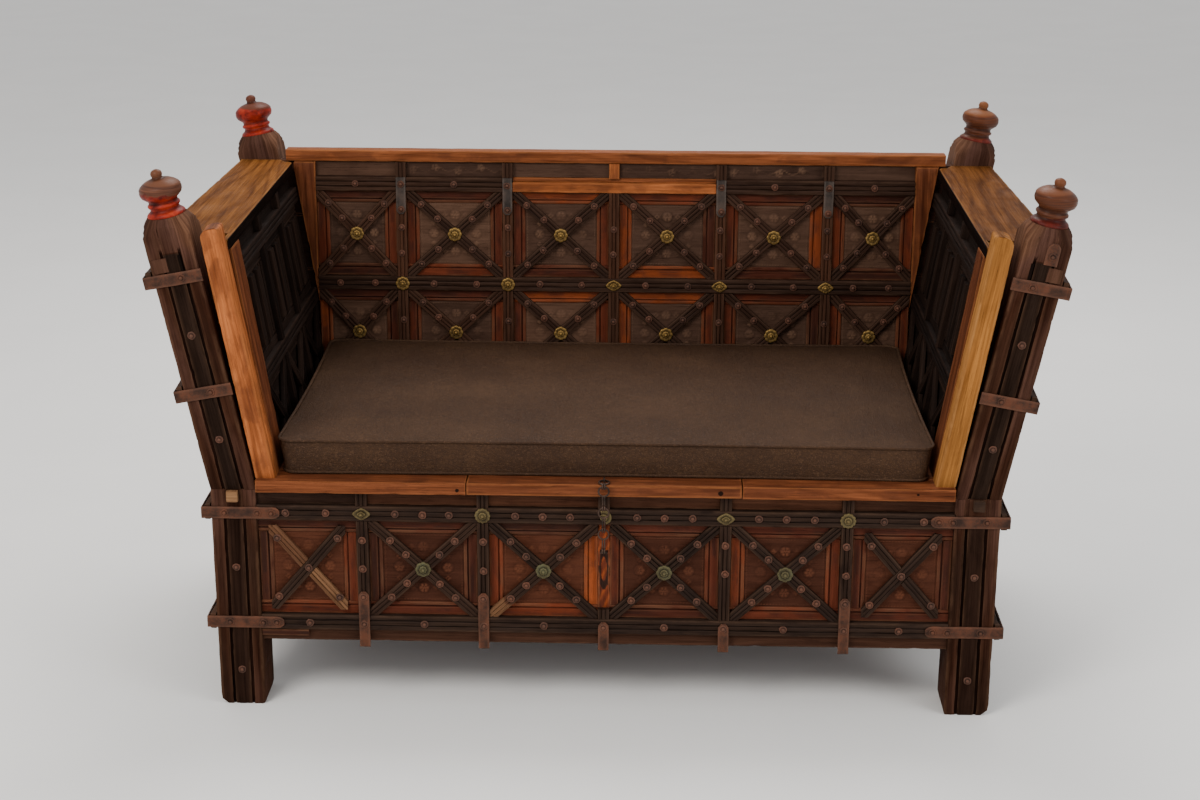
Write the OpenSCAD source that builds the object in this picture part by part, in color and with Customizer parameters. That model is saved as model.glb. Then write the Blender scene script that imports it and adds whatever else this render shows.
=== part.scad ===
// Settee built from the panels, posts and iron of an old dowry chest, with a
// storage box under the seat, a pivoted hatch with its lock chain and one loose
// box cushion. Z is up, the front faces -Y and the origin is the middle of the
// floor area that the settee covers.

/* [Overall] */
// Width of the base over its lower posts
base_w = 1460; // [1300:10:1600]
// Depth of the base over its lower posts
base_d = 800; // [720:10:880]
// Height of the top of the seat boards
seat_h = 460; // [440:5:480]
// Thickness of the seat boards
seat_board = 23; // [18:1:28]
// Height of the board below the lower strip of the box
sill_h = 25; // [15:1:35]
// How much nearer the middle the back posts stand than the front ones
back_inset = 22; // [0:1:30]

/* [Posts] */
// Width of every post
post_w = 85; // [70:1:95]
// Depth of every post
post_d = 90; // [80:1:100]
// Outward lean of the upper posts, in degrees
post_lean = 10.5; // [8:0.5:12]
// Fore and aft lean of the upper posts, in degrees
end_lean = 3.3; // [2:0.1:5]
// Backward lean of the seat's back, in degrees
back_lean = 1.5; // [0:0.1:3]
// Length of an upper post along its lean
upper_post_l = 512; // [490:1:550]
// Chamfer on the top block of a post
block_chamfer = 16; // [8:1:20]
// Height of the plain block at the top of a post
block_h = 54; // [40:1:70]
// Width of the grooves run along the posts
groove_w = 5; // [3:1:7]
// Depth of the grooves run along the posts
groove_d = 4; // [2:1:6]
// Chamfer on the outer lower corner of a foot
foot_chamfer = 14; // [4:1:20]
// Side of the wooden peg at the head of a lower post
peg = 22; // [16:1:26]

/* [Finials] */
// Radius of the flattened bun
bun_r = 38.5; // [34:0.5:42]
// Height of the flattened bun
bun_h = 38; // [30:1:42]
// Height of the bun's lower edge over the post
bun_z = 31; // [26:1:34]
// Radius of the flared foot of a finial
finial_foot_r = 31; // [28:1:36]
// Radius of the waist under the bun
waist_r = 22; // [18:1:26]
// Radius of the small ball on top
ball_r = 10.5; // [9:0.5:13]

/* [Walls] */
// Thickness of the ribbed strips nailed over the walls
strip_t = 22; // [18:1:26]
// Thickness of the wall planks
wall_t = 20; // [14:1:24]
// Width of the narrower bay at each end of the front
end_bay = 184; // [160:1:200]
// Distance from one horizontal strip to the next on the base and the arms
row_h = 220; // [205:1:225]
// Distance from one horizontal strip to the next on the seat's back
back_row_h = 214; // [205:1:225]
// Width of the horizontal ribbed strips
rail_w = 30; // [24:1:34]
// Width of the vertical ribbed strips
strap_w = 22; // [18:1:26]
// Width of the diagonal ribbed strips
cross_w = 21; // [16:1:24]
// Width of the moulded battens that frame a panel
batten_w = 26; // [20:1:30]
// How far the battens stand back from the face of the strips
batten_back = 10; // [6:1:12]
// How far the carved panels stand back from the battens
panel_back = 3; // [1:1:6]
// How far the diagonal strips stand back from the face of the strips
cross_back = 3; // [1:1:5]
// Height left of the middle front strip, which is broken away above
stub_l = 62; // [40:1:80]
// Depth of the two grooves in a ribbed strip
rib_d = 3; // [1:0.5:4]
// Gap between planks that lie side by side
plank_gap = 1; // [0.5:0.5:2]
// How much narrower the panelled part of the back is than the base, at each end
back_end = 100; // [90:5:120]
// Depth below the seat of the upper front strip's centre line
front_rail_drop = 68; // [60:1:80]
// Height over the seat of the upper back strip's centre line
back_rail_z = 402; // [395:1:415]

/* [Arms and back] */
// Width that an arm takes up at the seat
arm_foot = 123; // [118:1:145]
// Outward lean of the arm linings and front trims, in degrees
lining_lean = 9; // [7:0.2:10]
// Distance from the back panelling at the seat to the rear of the base
back_space = 98; // [90:1:130]
// Height of the arm caps' top over the seat
cap_rise = 448; // [430:1:455]
// Thickness of the arm caps
cap_t = 22; // [16:1:26]
// Radius of the arm caps' inner back corner
cap_corner_r = 18; // [8:1:24]
// Height of the back cap rail
back_cap_h = 24; // [18:1:28]
// Depth of the back cap rail
back_cap_d = 34; // [28:1:40]
// How much shorter the back cap rail is than the base, at each end
back_cap_end = 38; // [30:1:60]
// Depth of a front trim
trim_d = 38; // [30:1:44]
// Height of a front trim above the arm cap
trim_rise = 44; // [30:1:54]
// Rounding of a front trim's outer top corner
trim_r = 20; // [10:1:24]
// Depth of the stile behind a front trim
stile_d = 72; // [50:1:80]

/* [Ironwork] */
// Thickness of the iron straps
iron_t = 3; // [2:0.5:4]
// Distance from the top of an upper post down to the middle of its upper band
band_drop = 102; // [90:1:115]
// Height of the iron bands round the posts
band_h = 23; // [18:1:26]
// Length of a band along the front of the base
band_l = 128; // [110:1:140]
// Length of a band's side leg
band_leg = 110; // [90:1:130]
// Thickness of the ribbed rails laid over the posts' outer faces
side_rail_t = 11; // [8:1:13]
// Radius of a rivet's washer
rivet_r = 7.5; // [6:0.5:8.5]
// Height of a rivet's head
rivet_h = 5; // [3:0.5:6]
// Radius of a round brass boss
boss_r = 15; // [12:0.5:17]
// Width of the iron tabs at the ends of the vertical strips
tab_w = 20; // [16:1:22]
// Length of the long iron tabs on the front
tab_l = 112; // [80:1:116]
// Length of the short iron tabs on the front
short_tab_l = 57; // [40:1:70]
// Length of the iron tabs on the seat's back
back_tab_l = 78; // [60:1:90]
// How far the front tabs hang below the box
tab_drop = 7; // [0:1:10]

/* [Hatch and chain] */
// Width of the hatch in the seat
lid_w = 506; // [440:2:560]
// Depth of the hatch from the front of the seat to its pivot
lid_d = 345; // [300:5:400]
// Running gap round the hatch
lid_gap = 1.5; // [1:0.5:2.5]
// How far the seat boards stand out over the front strips
nosing = 14; // [8:1:18]
// Radius of the iron pins that the hatch turns on
pin_r = 5; // [4:0.5:6]
// Running clearance round a pin
pin_gap = 0.1; // [0.05:0.01:0.2]
// How far a pin reaches into the board beside the hatch
pin_l = 30; // [20:1:40]
// Radius of the chain wire
wire_r = 1.6; // [1.4:0.1:1.8]
// Distance from one link's pivot to the next
link_l = 42; // [40:1:46]
// Radius of a link's eye, to the middle of its wire
eye_r = 9.5; // [9:0.5:11]
// Radius of a link's hooks, to the middle of their wire
hook_r = 4.4; // [4.2:0.1:4.8]

/* [Cushion] */
// Gap between the cushion's piping and an arm lining
cushion_gap = 9; // [7:1:40]
// How far the cushion stands back from the front of the base
cushion_front = 22; // [14:1:60]
// Height of the cushion's boxing between the two rows of piping
cushion_side = 55; // [40:1:70]
// Rise of the cushion's crown above its top piping
crown = 11; // [4:1:16]
// How far the sides draw in between the corners
draw_in = 7; // [2:1:12]
// Radius of the piping
piping_r = 3; // [2:0.5:4]
// Radius of the cushion's corners in plan
cushion_corner = 26; // [16:1:36]

/* [Hidden] */
$fn = 48;
eps = 0.01;
half_w = base_w / 2;
half_d = base_d / 2;
board_z = seat_h - seat_board;
post_in = half_w - post_w;
post_back = half_d - post_d;
front_rail_z = seat_h - front_rail_drop;
box_bottom = front_rail_z - row_h - rail_w / 2 - sill_h;
bay = (post_in - end_bay - strap_w / 2) / 2;
back_half = half_w - back_end;
lining_x = half_w - arm_foot;
back_depth = base_d - back_space;
cap_top = seat_h + cap_rise;
back_cap_half = half_w - back_cap_end;
cushion_back_gap = 4;
cushion_w = 2 * (lining_x - cushion_gap);
cushion_d = back_depth - cushion_front - cushion_back_gap;
// How far the sides of the settee turn in towards the back, in degrees.
toe = atan2(back_inset, base_d - post_d);
// Spare length that side pieces are drawn with before they are cut to the posts.
spare = 4;
side_l = post_back + spare;
// Boards that a wall, the seat back and the chest floor are made up of.
wall_plank_count = 3;
back_plank_count = 4;
floor_plank_count = 5;
lid_plank_count = 2;
// Gap between pieces that are fitted against each other but are not one piece.
seat_gap = 0.3;
big = 3 * base_w;

wood_dark = [0.21, 0.17, 0.16];
wood_red = [0.42, 0.22, 0.15];
wood_panel = [0.37, 0.22, 0.16];
wood_orange = [0.72, 0.38, 0.18];
wood_gold = [0.68, 0.48, 0.27];
iron = [0.36, 0.24, 0.2];
brass = [0.5, 0.44, 0.24];
lacquer = [0.6, 0.2, 0.15];
hide = [0.29, 0.22, 0.18];

// Frames that the walls are drawn in: X along the wall, Y into it, Z up it.
module front_frame() translate([0, -half_d, 0]) children();
module rear_frame() rotate([0, 0, 180]) translate([0, -half_d, 0]) children();
module back_frame() translate([0, back_depth - half_d, seat_h]) rotate([-back_lean, 0, 0]) children();
module side_frame() translate([half_w - back_inset / 2, 0, 0]) rotate([0, 0, 90 + toe]) children();
module lining_frame() translate([lining_x, 0, seat_h]) rotate([0, lining_lean, 0]) rotate([0, 0, -90])
    children();
module outer_frame() translate([half_w - back_inset / 2, 0, board_z]) rotate([0, 0, toe]) rotate([0,
    post_lean, 0])
    rotate([0, 0, 90]) children();
module post_frame() translate([half_w, -half_d + post_d / 2, board_z]) rotate([0, post_lean, 0])
    rotate([end_lean, 0, 0]) children();

module both_sides() {
    children();
    mirror([1, 0, 0]) children();
}

// Moves a piece drawn at the front right corner to another corner. The back pair stands a little nearer the middle.
module corner(left, back) {
    if (left) mirror([1, 0, 0]) right_corner(back) children();
    else right_corner(back) children();
}
module right_corner(back) {
    if (back) translate([-back_inset, 0, 0]) mirror([0, 1, 0]) children();
    else children();
}

// Keeps what lies between the front posts and the back posts.
module between_posts() intersection() {
    children();
    box(-base_w, base_w, -post_back, post_back, -base_w, base_w);
}

module below(z) translate([-big / 2, -big / 2, z - big]) cube([big, big, big]);
module above(z) translate([-big / 2, -big / 2, z]) cube([big, big, big]);
module box(x0, x1, y0, y1, z0, z1) translate([x0, y0, z0]) cube([x1 - x0, y1 - y0, z1 - z0]);

// A strip along X with two grooves in its face.
module ribbed(x0, x1, z, w, t) {
    g = w / 9;
    translate([x0, 0, z]) rotate([90, 0, 90]) linear_extrude(x1 - x0) polygon([
        [t, -w / 2], [1, -w / 2], [0, -w / 2 + 1], [0, -2 * g], [rib_d, -1.5 * g], [rib_d, -g], [0, -g / 2],
        [0, g / 2], [rib_d, g], [rib_d, 1.5 * g], [0, 2 * g], [0, w / 2 - 1], [1, w / 2], [t, w / 2]]);
}

// The same strip standing up along Z.
module ribbed_up(x, z0, z1, w, t) translate([x, 0, 0]) rotate([0, -90, 0]) ribbed(z0, z1, 0, w, t);

// Outline of a bay, seen square on.
module bay_2d(x0, x1, z0, z1) translate([x0, z0]) square([x1 - x0, z1 - z0]);
module arm_2d(x0, x1, z0, z1, way) translate([(x0 + x1) / 2, (z0 + z1) / 2])
    rotate(way * atan2(z1 - z0, x1 - x0)) square([x1 - x0 + z1 - z0, cross_w], center = true);
module to_wall(y0, y1) translate([0, y1, 0]) rotate([90, 0, 0]) linear_extrude(y1 - y0) children();

// One diagonal of a cross: a through strip, or with cut set, two halves that butt against the other one.
module diagonal_2d(x0, x1, z0, z1, cut) {
    intersection() {
        bay_2d(x0, x1, z0, z1);
        difference() {
            arm_2d(x0, x1, z0, z1, cut ? -1 : 1);
            if (cut) arm_2d(x0, x1, z0, z1, 1);
        }
    }
}

// The panel under it is let in by ends at the top and bottom.
module cross(x0, x1, z0, z1, ends = batten_w) {
    seat = batten_back + panel_back;
    for (cut = [false, true]) {
        to_wall(cross_back, batten_back) diagonal_2d(x0, x1, z0, z1, cut);
        to_wall(batten_back - eps, seat) intersection() {
            diagonal_2d(x0, x1, z0, z1, cut);
            bay_2d(x0 + batten_w, x1 - batten_w, z0 + ends, z1 - ends);
        }
    }
}

// A carved panel and the battens round it, for one bay.
module panel(x0, x1, z0, z1) box(x0 + batten_w, x1 - batten_w, batten_back + panel_back, strip_t,
    z0 + batten_w, z1 - batten_w);
module battens(x0, x1, z0, z1) {
    box(x0, x1, batten_back, strip_t, z0, z0 + batten_w);
    box(x0, x1, batten_back, strip_t, z1 - batten_w, z1);
    for (x = [x0, x1 - batten_w]) box(x, x + batten_w, batten_back, strip_t, z0 + batten_w, z1 - batten_w);
}

module rivet(x, z, y) translate([x, y, z]) rotate([90, 0, 0]) rotate_extrude($fn = 24) polygon([
    [0, 0], [rivet_r, 0], [rivet_r, 1], [rivet_r * 0.8, 1.8], [rivet_r * 0.55, 1.4], [rivet_r * 0.45, 3.4],
    [rivet_r * 0.25, rivet_h - 0.4], [0, rivet_h]]);
module boss(x, z, y) translate([x, y, z]) rotate([90, 0, 0]) rotate_extrude($fn = 32) polygon([
    [0, 0], [boss_r, 0], [boss_r, 1.5], [boss_r * 0.86, 3], [boss_r * 0.6, 2.6], [boss_r * 0.5, 5],
    [boss_r * 0.3, 6.5], [boss_r * 0.22, 8.6], [0, 9]]);

// Rivets on a cross: two on each half arm, or one where the cross is short.
module cross_rivets(x0, x1, z0, z1, steps) for (sx = [-1, 1], sz = [-1, 1], k = steps)
    rivet((x0 + x1) / 2 + sx * k * (x1 - x0) / 2, (z0 + z1) / 2 + sz * k * (z1 - z0) / 2, cross_back);
// Places of the rivets, as shares of a half arm, of a bay's width or of a strip's height.
two_each = [0.36, 0.7];
one_each = [0.62];
bay_rivets = [0.25, 0.5, 0.75];
end_rivets = [0.3, 0.7];
strap_rivets = [0.5, 0.8];
back_strap_rivets = [0.24, 0.5];
low_strap_rivet = 0.3;
foot_rivet = 0.45;

// Long walls: five vertical strips make four equal bays, with a narrower bay at each end.
strap_x = [for (i = [-2:2]) i * bay];
function bay_edges(half) = concat([[-half, strap_x[0] - strap_w / 2]],
    [for (i = [0:3]) [strap_x[i] + strap_w / 2, strap_x[i + 1] - strap_w / 2]],
    [[strap_x[4] + strap_w / 2, half]]);
front_bays = bay_edges(post_in);
back_bays = bay_edges(back_half);
front_low = front_rail_z - row_h;
front_row = [front_low + rail_w / 2, front_rail_z - rail_w / 2];
back_mid = back_rail_z - back_row_h;
back_rows = [[back_mid - back_row_h + rail_w / 2, back_mid - rail_w / 2],
    [back_mid + rail_w / 2, back_rail_z - rail_w / 2]];
back_tab_z = back_rail_z + rail_w / 2 - back_tab_l;
back_seat = 2;
back_top = (cap_top - seat_h) / cos(back_lean);
// Side walls: three bays between the posts.
side_bay = 2 * post_back / 3;
side_straps = [-side_bay / 2, side_bay / 2];
side_bays = [[-side_l, side_straps[0] - strap_w / 2], [side_straps[0] + strap_w / 2,
    side_straps[1] - strap_w / 2],
    [side_straps[1] + strap_w / 2, side_l]];

module planks(x0, x1, y0, y1, z0, z1, n) {
    h = (z1 - z0 + plank_gap) / n;
    for (i = [0:n - 1]) box(x0, x1, y0, y1, z0 + i * h, z0 + (i + 1) * h - plank_gap);
}

// Posts
// Places of the grooves down a post, as shares of its width.
foot_grooves = [0.27, 0.7];
side_grooves = [0.3, 0.7];
head_groove = 0.2;
module lower_post(left, back) color(wood_dark) corner(left, back) difference() {
    box(post_in, half_w, -half_d, -post_back, 0, board_z);
    for (k = foot_grooves) let (x = post_in + post_w * k)
        box(x - groove_w / 2, x + groove_w / 2, -half_d - 1, -half_d + groove_d, -1, board_z - block_h);
    for (k = side_grooves) let (y = -half_d + post_d * k)
        box(half_w - groove_d, half_w + 1, y - groove_w / 2, y + groove_w / 2, -1, board_z - block_h);
    translate([half_w, -half_d - 1, 0]) rotate([0, 45, 0])
        cube([foot_chamfer, 2 * post_d + 2, foot_chamfer], center = true);
}

// The top block's shape over a post of width w, seen square on.
function post_outline(w) = [[w / 2, -post_d], [w / 2, upper_post_l - block_chamfer],
    [w / 2 - block_chamfer, upper_post_l], [-w / 2 + block_chamfer, upper_post_l],
    [-w / 2, upper_post_l - block_chamfer], [-w / 2, -post_d]];

module upper_post(left, back) color(wood_dark) corner(left, back) difference() {
    post_frame() translate([-post_w / 2, 0, 0]) difference() {
        intersection() {
            translate([0, post_d / 2, 0]) rotate([90, 0, 0]) linear_extrude(post_d)
                polygon(post_outline(post_w));
            rotate([90, 0, 90]) translate([0, 0, -post_w]) linear_extrude(2 * post_w)
                polygon(post_outline(post_d));
        }
        for (x = [-post_w * head_groove, post_w * head_groove])
            box(x - groove_w / 2, x + groove_w / 2, -post_d / 2 - 1, -post_d / 2 + groove_d,
                -post_d - 1, upper_post_l - block_h);
    }
    below(board_z);
}

// Finials
bun_top = bun_z + bun_h;
finial_h = bun_top + 2 * ball_r - 3;
// Unit that the heights below the bun are drawn in.
neck = bun_z / 31;
module finial(left, back) color(lacquer) corner(left, back) post_frame()
    translate([-post_w / 2, 0, upper_post_l]) {
        rotate_extrude() {
            polygon([[0, 0], [finial_foot_r, 0], [finial_foot_r, 4 * neck], [finial_foot_r - 3 * neck,
                8 * neck],
                [waist_r, 14 * neck], [waist_r, 18 * neck], [waist_r + 3 * neck, 20 * neck],
                [waist_r + 3 * neck, 24 * neck], [waist_r, 26 * neck], [waist_r, bun_z + 4 * neck], [0,
                    bun_z + 4 * neck]]);
            intersection() {
                translate([bun_r - bun_h / 2, bun_z + bun_h / 2]) circle(r = bun_h / 2);
                square([bun_r, bun_top]);
            }
            translate([0, bun_z + 1]) square([bun_r - bun_h / 2, bun_h - 1]);
            translate([0, bun_top - 1]) square([ball_r + 2.5, 3]);
        }
        translate([0, 0, finial_h - ball_r]) sphere(r = ball_r);
    }

// Front of the box
module front_wall() color(wood_red) front_frame()
    planks(-post_in, post_in, strip_t, strip_t + wall_t, box_bottom, board_z, wall_plank_count);
module front_panels() color(wood_panel) front_frame()
    for (b = front_bays) panel(b[0], b[1], front_row[0], front_row[1]);
module front_battens() color(wood_red) front_frame() {
    for (b = front_bays) battens(b[0], b[1], front_row[0], front_row[1]);
    box(-post_in, post_in, batten_back, strip_t, box_bottom, front_low - rail_w / 2);
    for (b = front_bays) box(b[0], b[1], batten_back, strip_t, front_rail_z + rail_w / 2, board_z);
}
module front_strips() color(wood_dark) front_frame() {
    for (z = [front_low, front_rail_z]) ribbed(-post_in, post_in, z, rail_w, strip_t);
    for (x = strap_x) {
        if (x != 0) ribbed_up(x, front_row[0], front_row[1], strap_w, strip_t);
        else {
            ribbed_up(x, front_row[0], front_row[0] + stub_l, strap_w, strip_t);
            box(-strap_w / 2, strap_w / 2, batten_back, strip_t, front_row[0] + stub_l, front_row[1]);
        }
        ribbed_up(x, front_rail_z + rail_w / 2, board_z, strap_w, strip_t);
    }
}
// How much smaller the crosses of the end bays are on each side.
end_cross_in = 20;
module front_crosses() color(wood_dark) front_frame() for (i = [0:5]) {
    b = front_bays[i];
    trim_in = i == 0 || i == 5 ? end_cross_in : 0;
    cross(b[0] + trim_in, b[1] - trim_in, front_row[0] + trim_in / 2, front_row[1] - trim_in / 2);
}
module front_rivets() color(iron) front_frame() {
    for (i = [1:4]) cross_rivets(front_bays[i][0], front_bays[i][1], front_row[0], front_row[1], two_each);
    for (i = [0, 5]) {
        b = front_bays[i];
        cross_rivets(b[0], b[1], front_row[0], front_row[1], one_each);
        rivet((b[0] + b[1]) / 2, (front_row[0] + front_row[1]) / 2, cross_back);
    }
    for (i = [0:5], k = i == 0 || i == 5 ? end_rivets : bay_rivets)
        rivet(front_bays[i][0] + k * (front_bays[i][1] - front_bays[i][0]), front_rail_z, 0);
    for (b = front_bays) rivet((b[0] + b[1]) / 2, front_low, 0);
    for (x = strap_x) rivet(x, front_low, -iron_t);
    for (x = strap_x) if (front_tab_l(x) == tab_l) rivet(x, box_bottom - tab_drop + tab_l - tab_w / 2,
        -iron_t);
    for (x = strap_x, k = strap_rivets) if (x != 0) rivet(x,
        front_row[0] + k * (front_row[1] - front_row[0]), 0);
}

// Back of the seat, facing the sitter
module back_wall() color(wood_panel) intersection() {
    back_frame() planks(-half_w, half_w, strip_t, strip_t + wall_t, board_z - seat_h, back_top,
        back_plank_count);
    above(board_z);
    below(cap_top);
    wall_ends();
}
// The space between the inner faces of the back posts, which widens upwards.
module wall_ends() {
    foot = half_w - back_inset - post_w / cos(post_lean) - plank_gap;
    spread = base_d * tan(post_lean);
    translate([0, base_d, 0]) rotate([90, 0, 0]) linear_extrude(2 * base_d) polygon([
        [-foot, board_z], [foot, board_z], [foot + spread, board_z + base_d], [-foot - spread,
            board_z + base_d]]);
}
module between_back_posts() intersection() {
    children();
    wall_ends();
}
module back_panels() color(wood_panel) between_back_posts() back_frame() {
    for (b = back_bays) {
        panel(b[0], b[1], back_rows[1][0], back_rows[1][1]);
        box(b[0] + batten_w, b[1] - batten_w, batten_back + panel_back, strip_t, back_seat,
            back_rows[0][1] - batten_w);
        box(b[0], b[1], batten_back + panel_back, strip_t, back_rail_z + rail_w / 2, back_top);
    }
}
module back_battens() color(wood_red) between_back_posts() back_frame() for (b = back_bays) {
    battens(b[0], b[1], back_rows[1][0], back_rows[1][1]);
    box(b[0], b[1], batten_back, strip_t, back_rows[0][1] - batten_w, back_rows[0][1]);
    for (x = [b[0], b[1] - batten_w])
        box(x, x + batten_w, batten_back, strip_t, back_seat, back_rows[0][1] - batten_w);
}
module back_strips() color(wood_dark) between_back_posts() back_frame() {
    gap = bay_gap();
    ribbed(-back_half, back_half, back_mid, rail_w, strip_t);
    ribbed(-back_half, -gap, back_rail_z, rail_w, strip_t);
    ribbed(gap, back_half, back_rail_z, rail_w, strip_t);
    for (x = strap_x) {
        ribbed_up(x, back_seat, back_rows[0][1], strap_w, strip_t);
        ribbed_up(x, back_rows[1][0], back_rows[1][1], strap_w, strip_t);
        if (abs(x) > bay / 2) ribbed_up(x, back_rail_z + rail_w / 2, back_top, strap_w, strip_t);
    }
}
// Half the length of the piece let in where the upper strip is missing.
function bay_gap() = bay - strap_w / 2;
module repair_strips() color(wood_orange) back_frame() {
    box(-bay_gap(), bay_gap(), 0, strip_t, back_rail_z - rail_w / 2, back_rail_z + rail_w * 0.2);
    box(-bay_gap(), bay_gap(), batten_back, strip_t, back_rail_z + rail_w * 0.2, back_rail_z + rail_w / 2);
    box(-strap_w / 2, strap_w / 2, panel_back, strip_t, back_rail_z + rail_w / 2, back_top);
}
module back_crosses() color(wood_dark) between_back_posts() back_frame() for (b = back_bays) {
    cross(b[0], b[1], back_rows[1][0], back_rows[1][1]);
    intersection() {
        cross(b[0], b[1], back_rows[0][0], back_rows[0][1]);
        box(b[0], b[1], 0, strip_t, back_seat, back_rows[0][1]);
    }
}
module back_rivets() color(iron) back_frame() {
    for (b = back_bays) {
        cross_rivets(b[0], b[1], back_rows[1][0], back_rows[1][1], two_each);
        mid = (back_rows[0][0] + back_rows[0][1]) / 2;
        rise = (back_rows[0][1] - back_rows[0][0]) / 2;
        for (sx = [-1, 1], k = two_each) rivet((b[0] + b[1]) / 2 + sx * k * (b[1] - b[0]) / 2,
            mid + k * rise, cross_back);
        for (k = end_rivets) rivet(b[0] + k * (b[1] - b[0]), back_mid, 0);
        if (abs(b[0] + b[1]) > 2 * bay) rivet((b[0] + b[1]) / 2, back_rail_z, 0);
    }
    for (x = strap_x, k = back_strap_rivets) rivet(x, back_rows[1][0] + k * back_row_h, 0);
    for (x = strap_x, z = [back_rail_z, back_tab_z + tab_w / 2]) if (x != 0) rivet(x, z, -iron_t);
    for (x = strap_x) rivet(x, back_rows[0][1] - back_row_h * low_strap_rivet, 0);
}
module back_cap_rail() color(wood_orange) intersection() {
    back_frame() translate([0, batten_back - panel_back, back_top])
        box(-back_cap_half, back_cap_half, 0, back_cap_d, 0, back_cap_h);
    wall_ends();
}
// Tapered boards that close the corners between the back and the leaning arm linings.
module corner_boards() color(wood_orange) both_sides() intersection() {
    back_frame() translate([0, strip_t, 0]) rotate([90, 0, 0]) linear_extrude(strip_t - panel_back)
        polygon([
        [back_half, (back_half - lining_x) / tan(lining_lean) / cos(back_lean)],
        [lining_x + back_top * cos(back_lean) * tan(lining_lean), back_top], [back_half, back_top]]);
    above(seat_h);
}

// Sides of the box
module side_walls() color(wood_dark) both_sides() between_posts() side_frame()
    planks(-side_l, side_l, strip_t, strip_t + wall_t, box_bottom, board_z, wall_plank_count);
module side_panels() color(wood_panel) both_sides() between_posts() side_frame() {
    for (b = side_bays) {
        panel(b[0], b[1], front_row[0], front_row[1]);
        battens(b[0], b[1], front_row[0], front_row[1]);
        box(b[0], b[1], batten_back, strip_t, front_rail_z + rail_w / 2, board_z);
    }
    box(-side_l, side_l, batten_back, strip_t, box_bottom, front_low - rail_w / 2);
}
module side_strips() color(wood_dark) both_sides() between_posts() side_frame() {
    for (z = [front_low, front_rail_z]) ribbed(-side_l, side_l, z, rail_w, strip_t);
    for (x = side_straps) {
        ribbed_up(x, front_row[0], front_row[1], strap_w, strip_t);
        ribbed_up(x, front_rail_z + rail_w / 2, board_z, strap_w, strip_t);
    }
}
module side_crosses() color(wood_dark) both_sides() between_posts() side_frame()
    for (b = side_bays) cross(b[0], b[1], front_row[0], front_row[1]);
module side_rivets() color(iron) both_sides() {
    side_frame() for (b = side_bays) {
        cross_rivets(b[0], b[1], front_row[0], front_row[1], one_each);
        rivet((b[0] + b[1]) / 2, (front_row[0] + front_row[1]) / 2, cross_back);
    }
    side_frame() for (x = side_straps, k = end_rivets) rivet(x,
        front_row[0] + k * (front_row[1] - front_row[0]), 0);
    for (back = [false, true]) right_corner(back) corner_rivets();
}
// Rivets down the faces of one post.
module corner_rivets() {
    for (z = [front_low - row_h * foot_rivet, (front_low + front_rail_z) / 2]) {
        front_frame() rivet(half_w - post_w / 2, z, 0);
        translate([half_w, 0, 0]) rotate([0, 0, 90]) rivet(-half_d + post_d / 2, z, 0);
    }
    post_frame() for (z = [band_z[0] / 2, (band_z[0] + band_z[1]) / 2]) rivet(-post_w / 2, z, -post_d / 2);
}
// Heights of the two bands on an upper post, along its lean.
band_z = [upper_post_l - band_drop - row_h, upper_post_l - band_drop];
// How far a band stands out at the side, so that it clears the rail under it, which turns in with the wall.
band_out = side_rail_t + (post_d / 2 + upper_post_l * tan(end_lean)) * tan(toe) + iron_t / 2;

// Arms
// Length of the outer arm walls before they are cut to the leaning posts.
arm_l = post_back + upper_post_l * tan(end_lean) + 2 * spare;
module arm_walls() color(wood_dark) both_sides() difference() {
    outer_frame() {
        planks(-arm_l, arm_l, strip_t, strip_t + wall_t, -wall_t, upper_post_l - block_h, back_plank_count);
        for (z = band_z) ribbed(-arm_l, arm_l, z, rail_w, strip_t);
        for (x = side_straps) {
            ribbed_up(x, -wall_t, band_z[0] - rail_w / 2, strap_w, strip_t);
            ribbed_up(x, band_z[0] + rail_w / 2, band_z[1] - rail_w / 2, strap_w, strip_t);
        }
        for (b = side_bays) cross(b[0], b[1], band_z[0] + rail_w / 2, band_z[1] - rail_w / 2);
        for (b = side_bays) to_wall(batten_back, strip_t)
            bay_2d(b[0], b[1], band_z[0] + rail_w / 2, band_z[1] - rail_w / 2);
    }
    below(board_z);
    above(cap_top - cap_t);
    for (back = [false, true]) right_corner(back) post_frame()
        box(-base_w, base_w, -base_d, post_d / 2 + eps, -base_d, base_d);
}
module side_rails() color(wood_dark) both_sides() difference() {
    union() {
        for (z = [front_low, front_rail_z]) side_frame() translate([0, -side_rail_t, 0])
            ribbed(-half_d, half_d, z, rail_w, side_rail_t);
        for (z = band_z) outer_frame() translate([0, -side_rail_t, 0])
            ribbed(-half_d - z * tan(end_lean), half_d + z * tan(end_lean), z, rail_w, side_rail_t);
    }
    for (back = [false, true]) right_corner(back) {
        box(post_in, half_w, -base_d, -post_back, 0, board_z);
        box(post_in, 2 * half_w, -base_d, -half_d + seat_gap, 0, board_z);
        post_frame() {
            box(-post_w, 0, -base_d, post_d / 2, 0, upper_post_l);
            box(-post_w, base_w, -base_d, -post_d / 2 + seat_gap, 0, upper_post_l);
        }
    }
}
lining_front = -half_d + trim_d + stile_d;
lining_rows = [0, band_z[0] - seat_board, band_z[1] - seat_board];
module lining_cut() {
    below(seat_h);
    above(cap_top - cap_t);
    back_frame() box(-base_w, base_w, -eps, base_d, -base_d, base_d);
}
module arm_linings() color(wood_dark) both_sides() difference() {
    lining_frame() planks(-back_depth + half_d - post_d, -lining_front, strip_t, strip_t + wall_t - 2,
        -wall_t, base_d / 2 + post_d, back_plank_count);
    lining_cut();
}
lining_span = back_depth - half_d - lining_front;
lining_bay = lining_span / 3;
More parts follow.
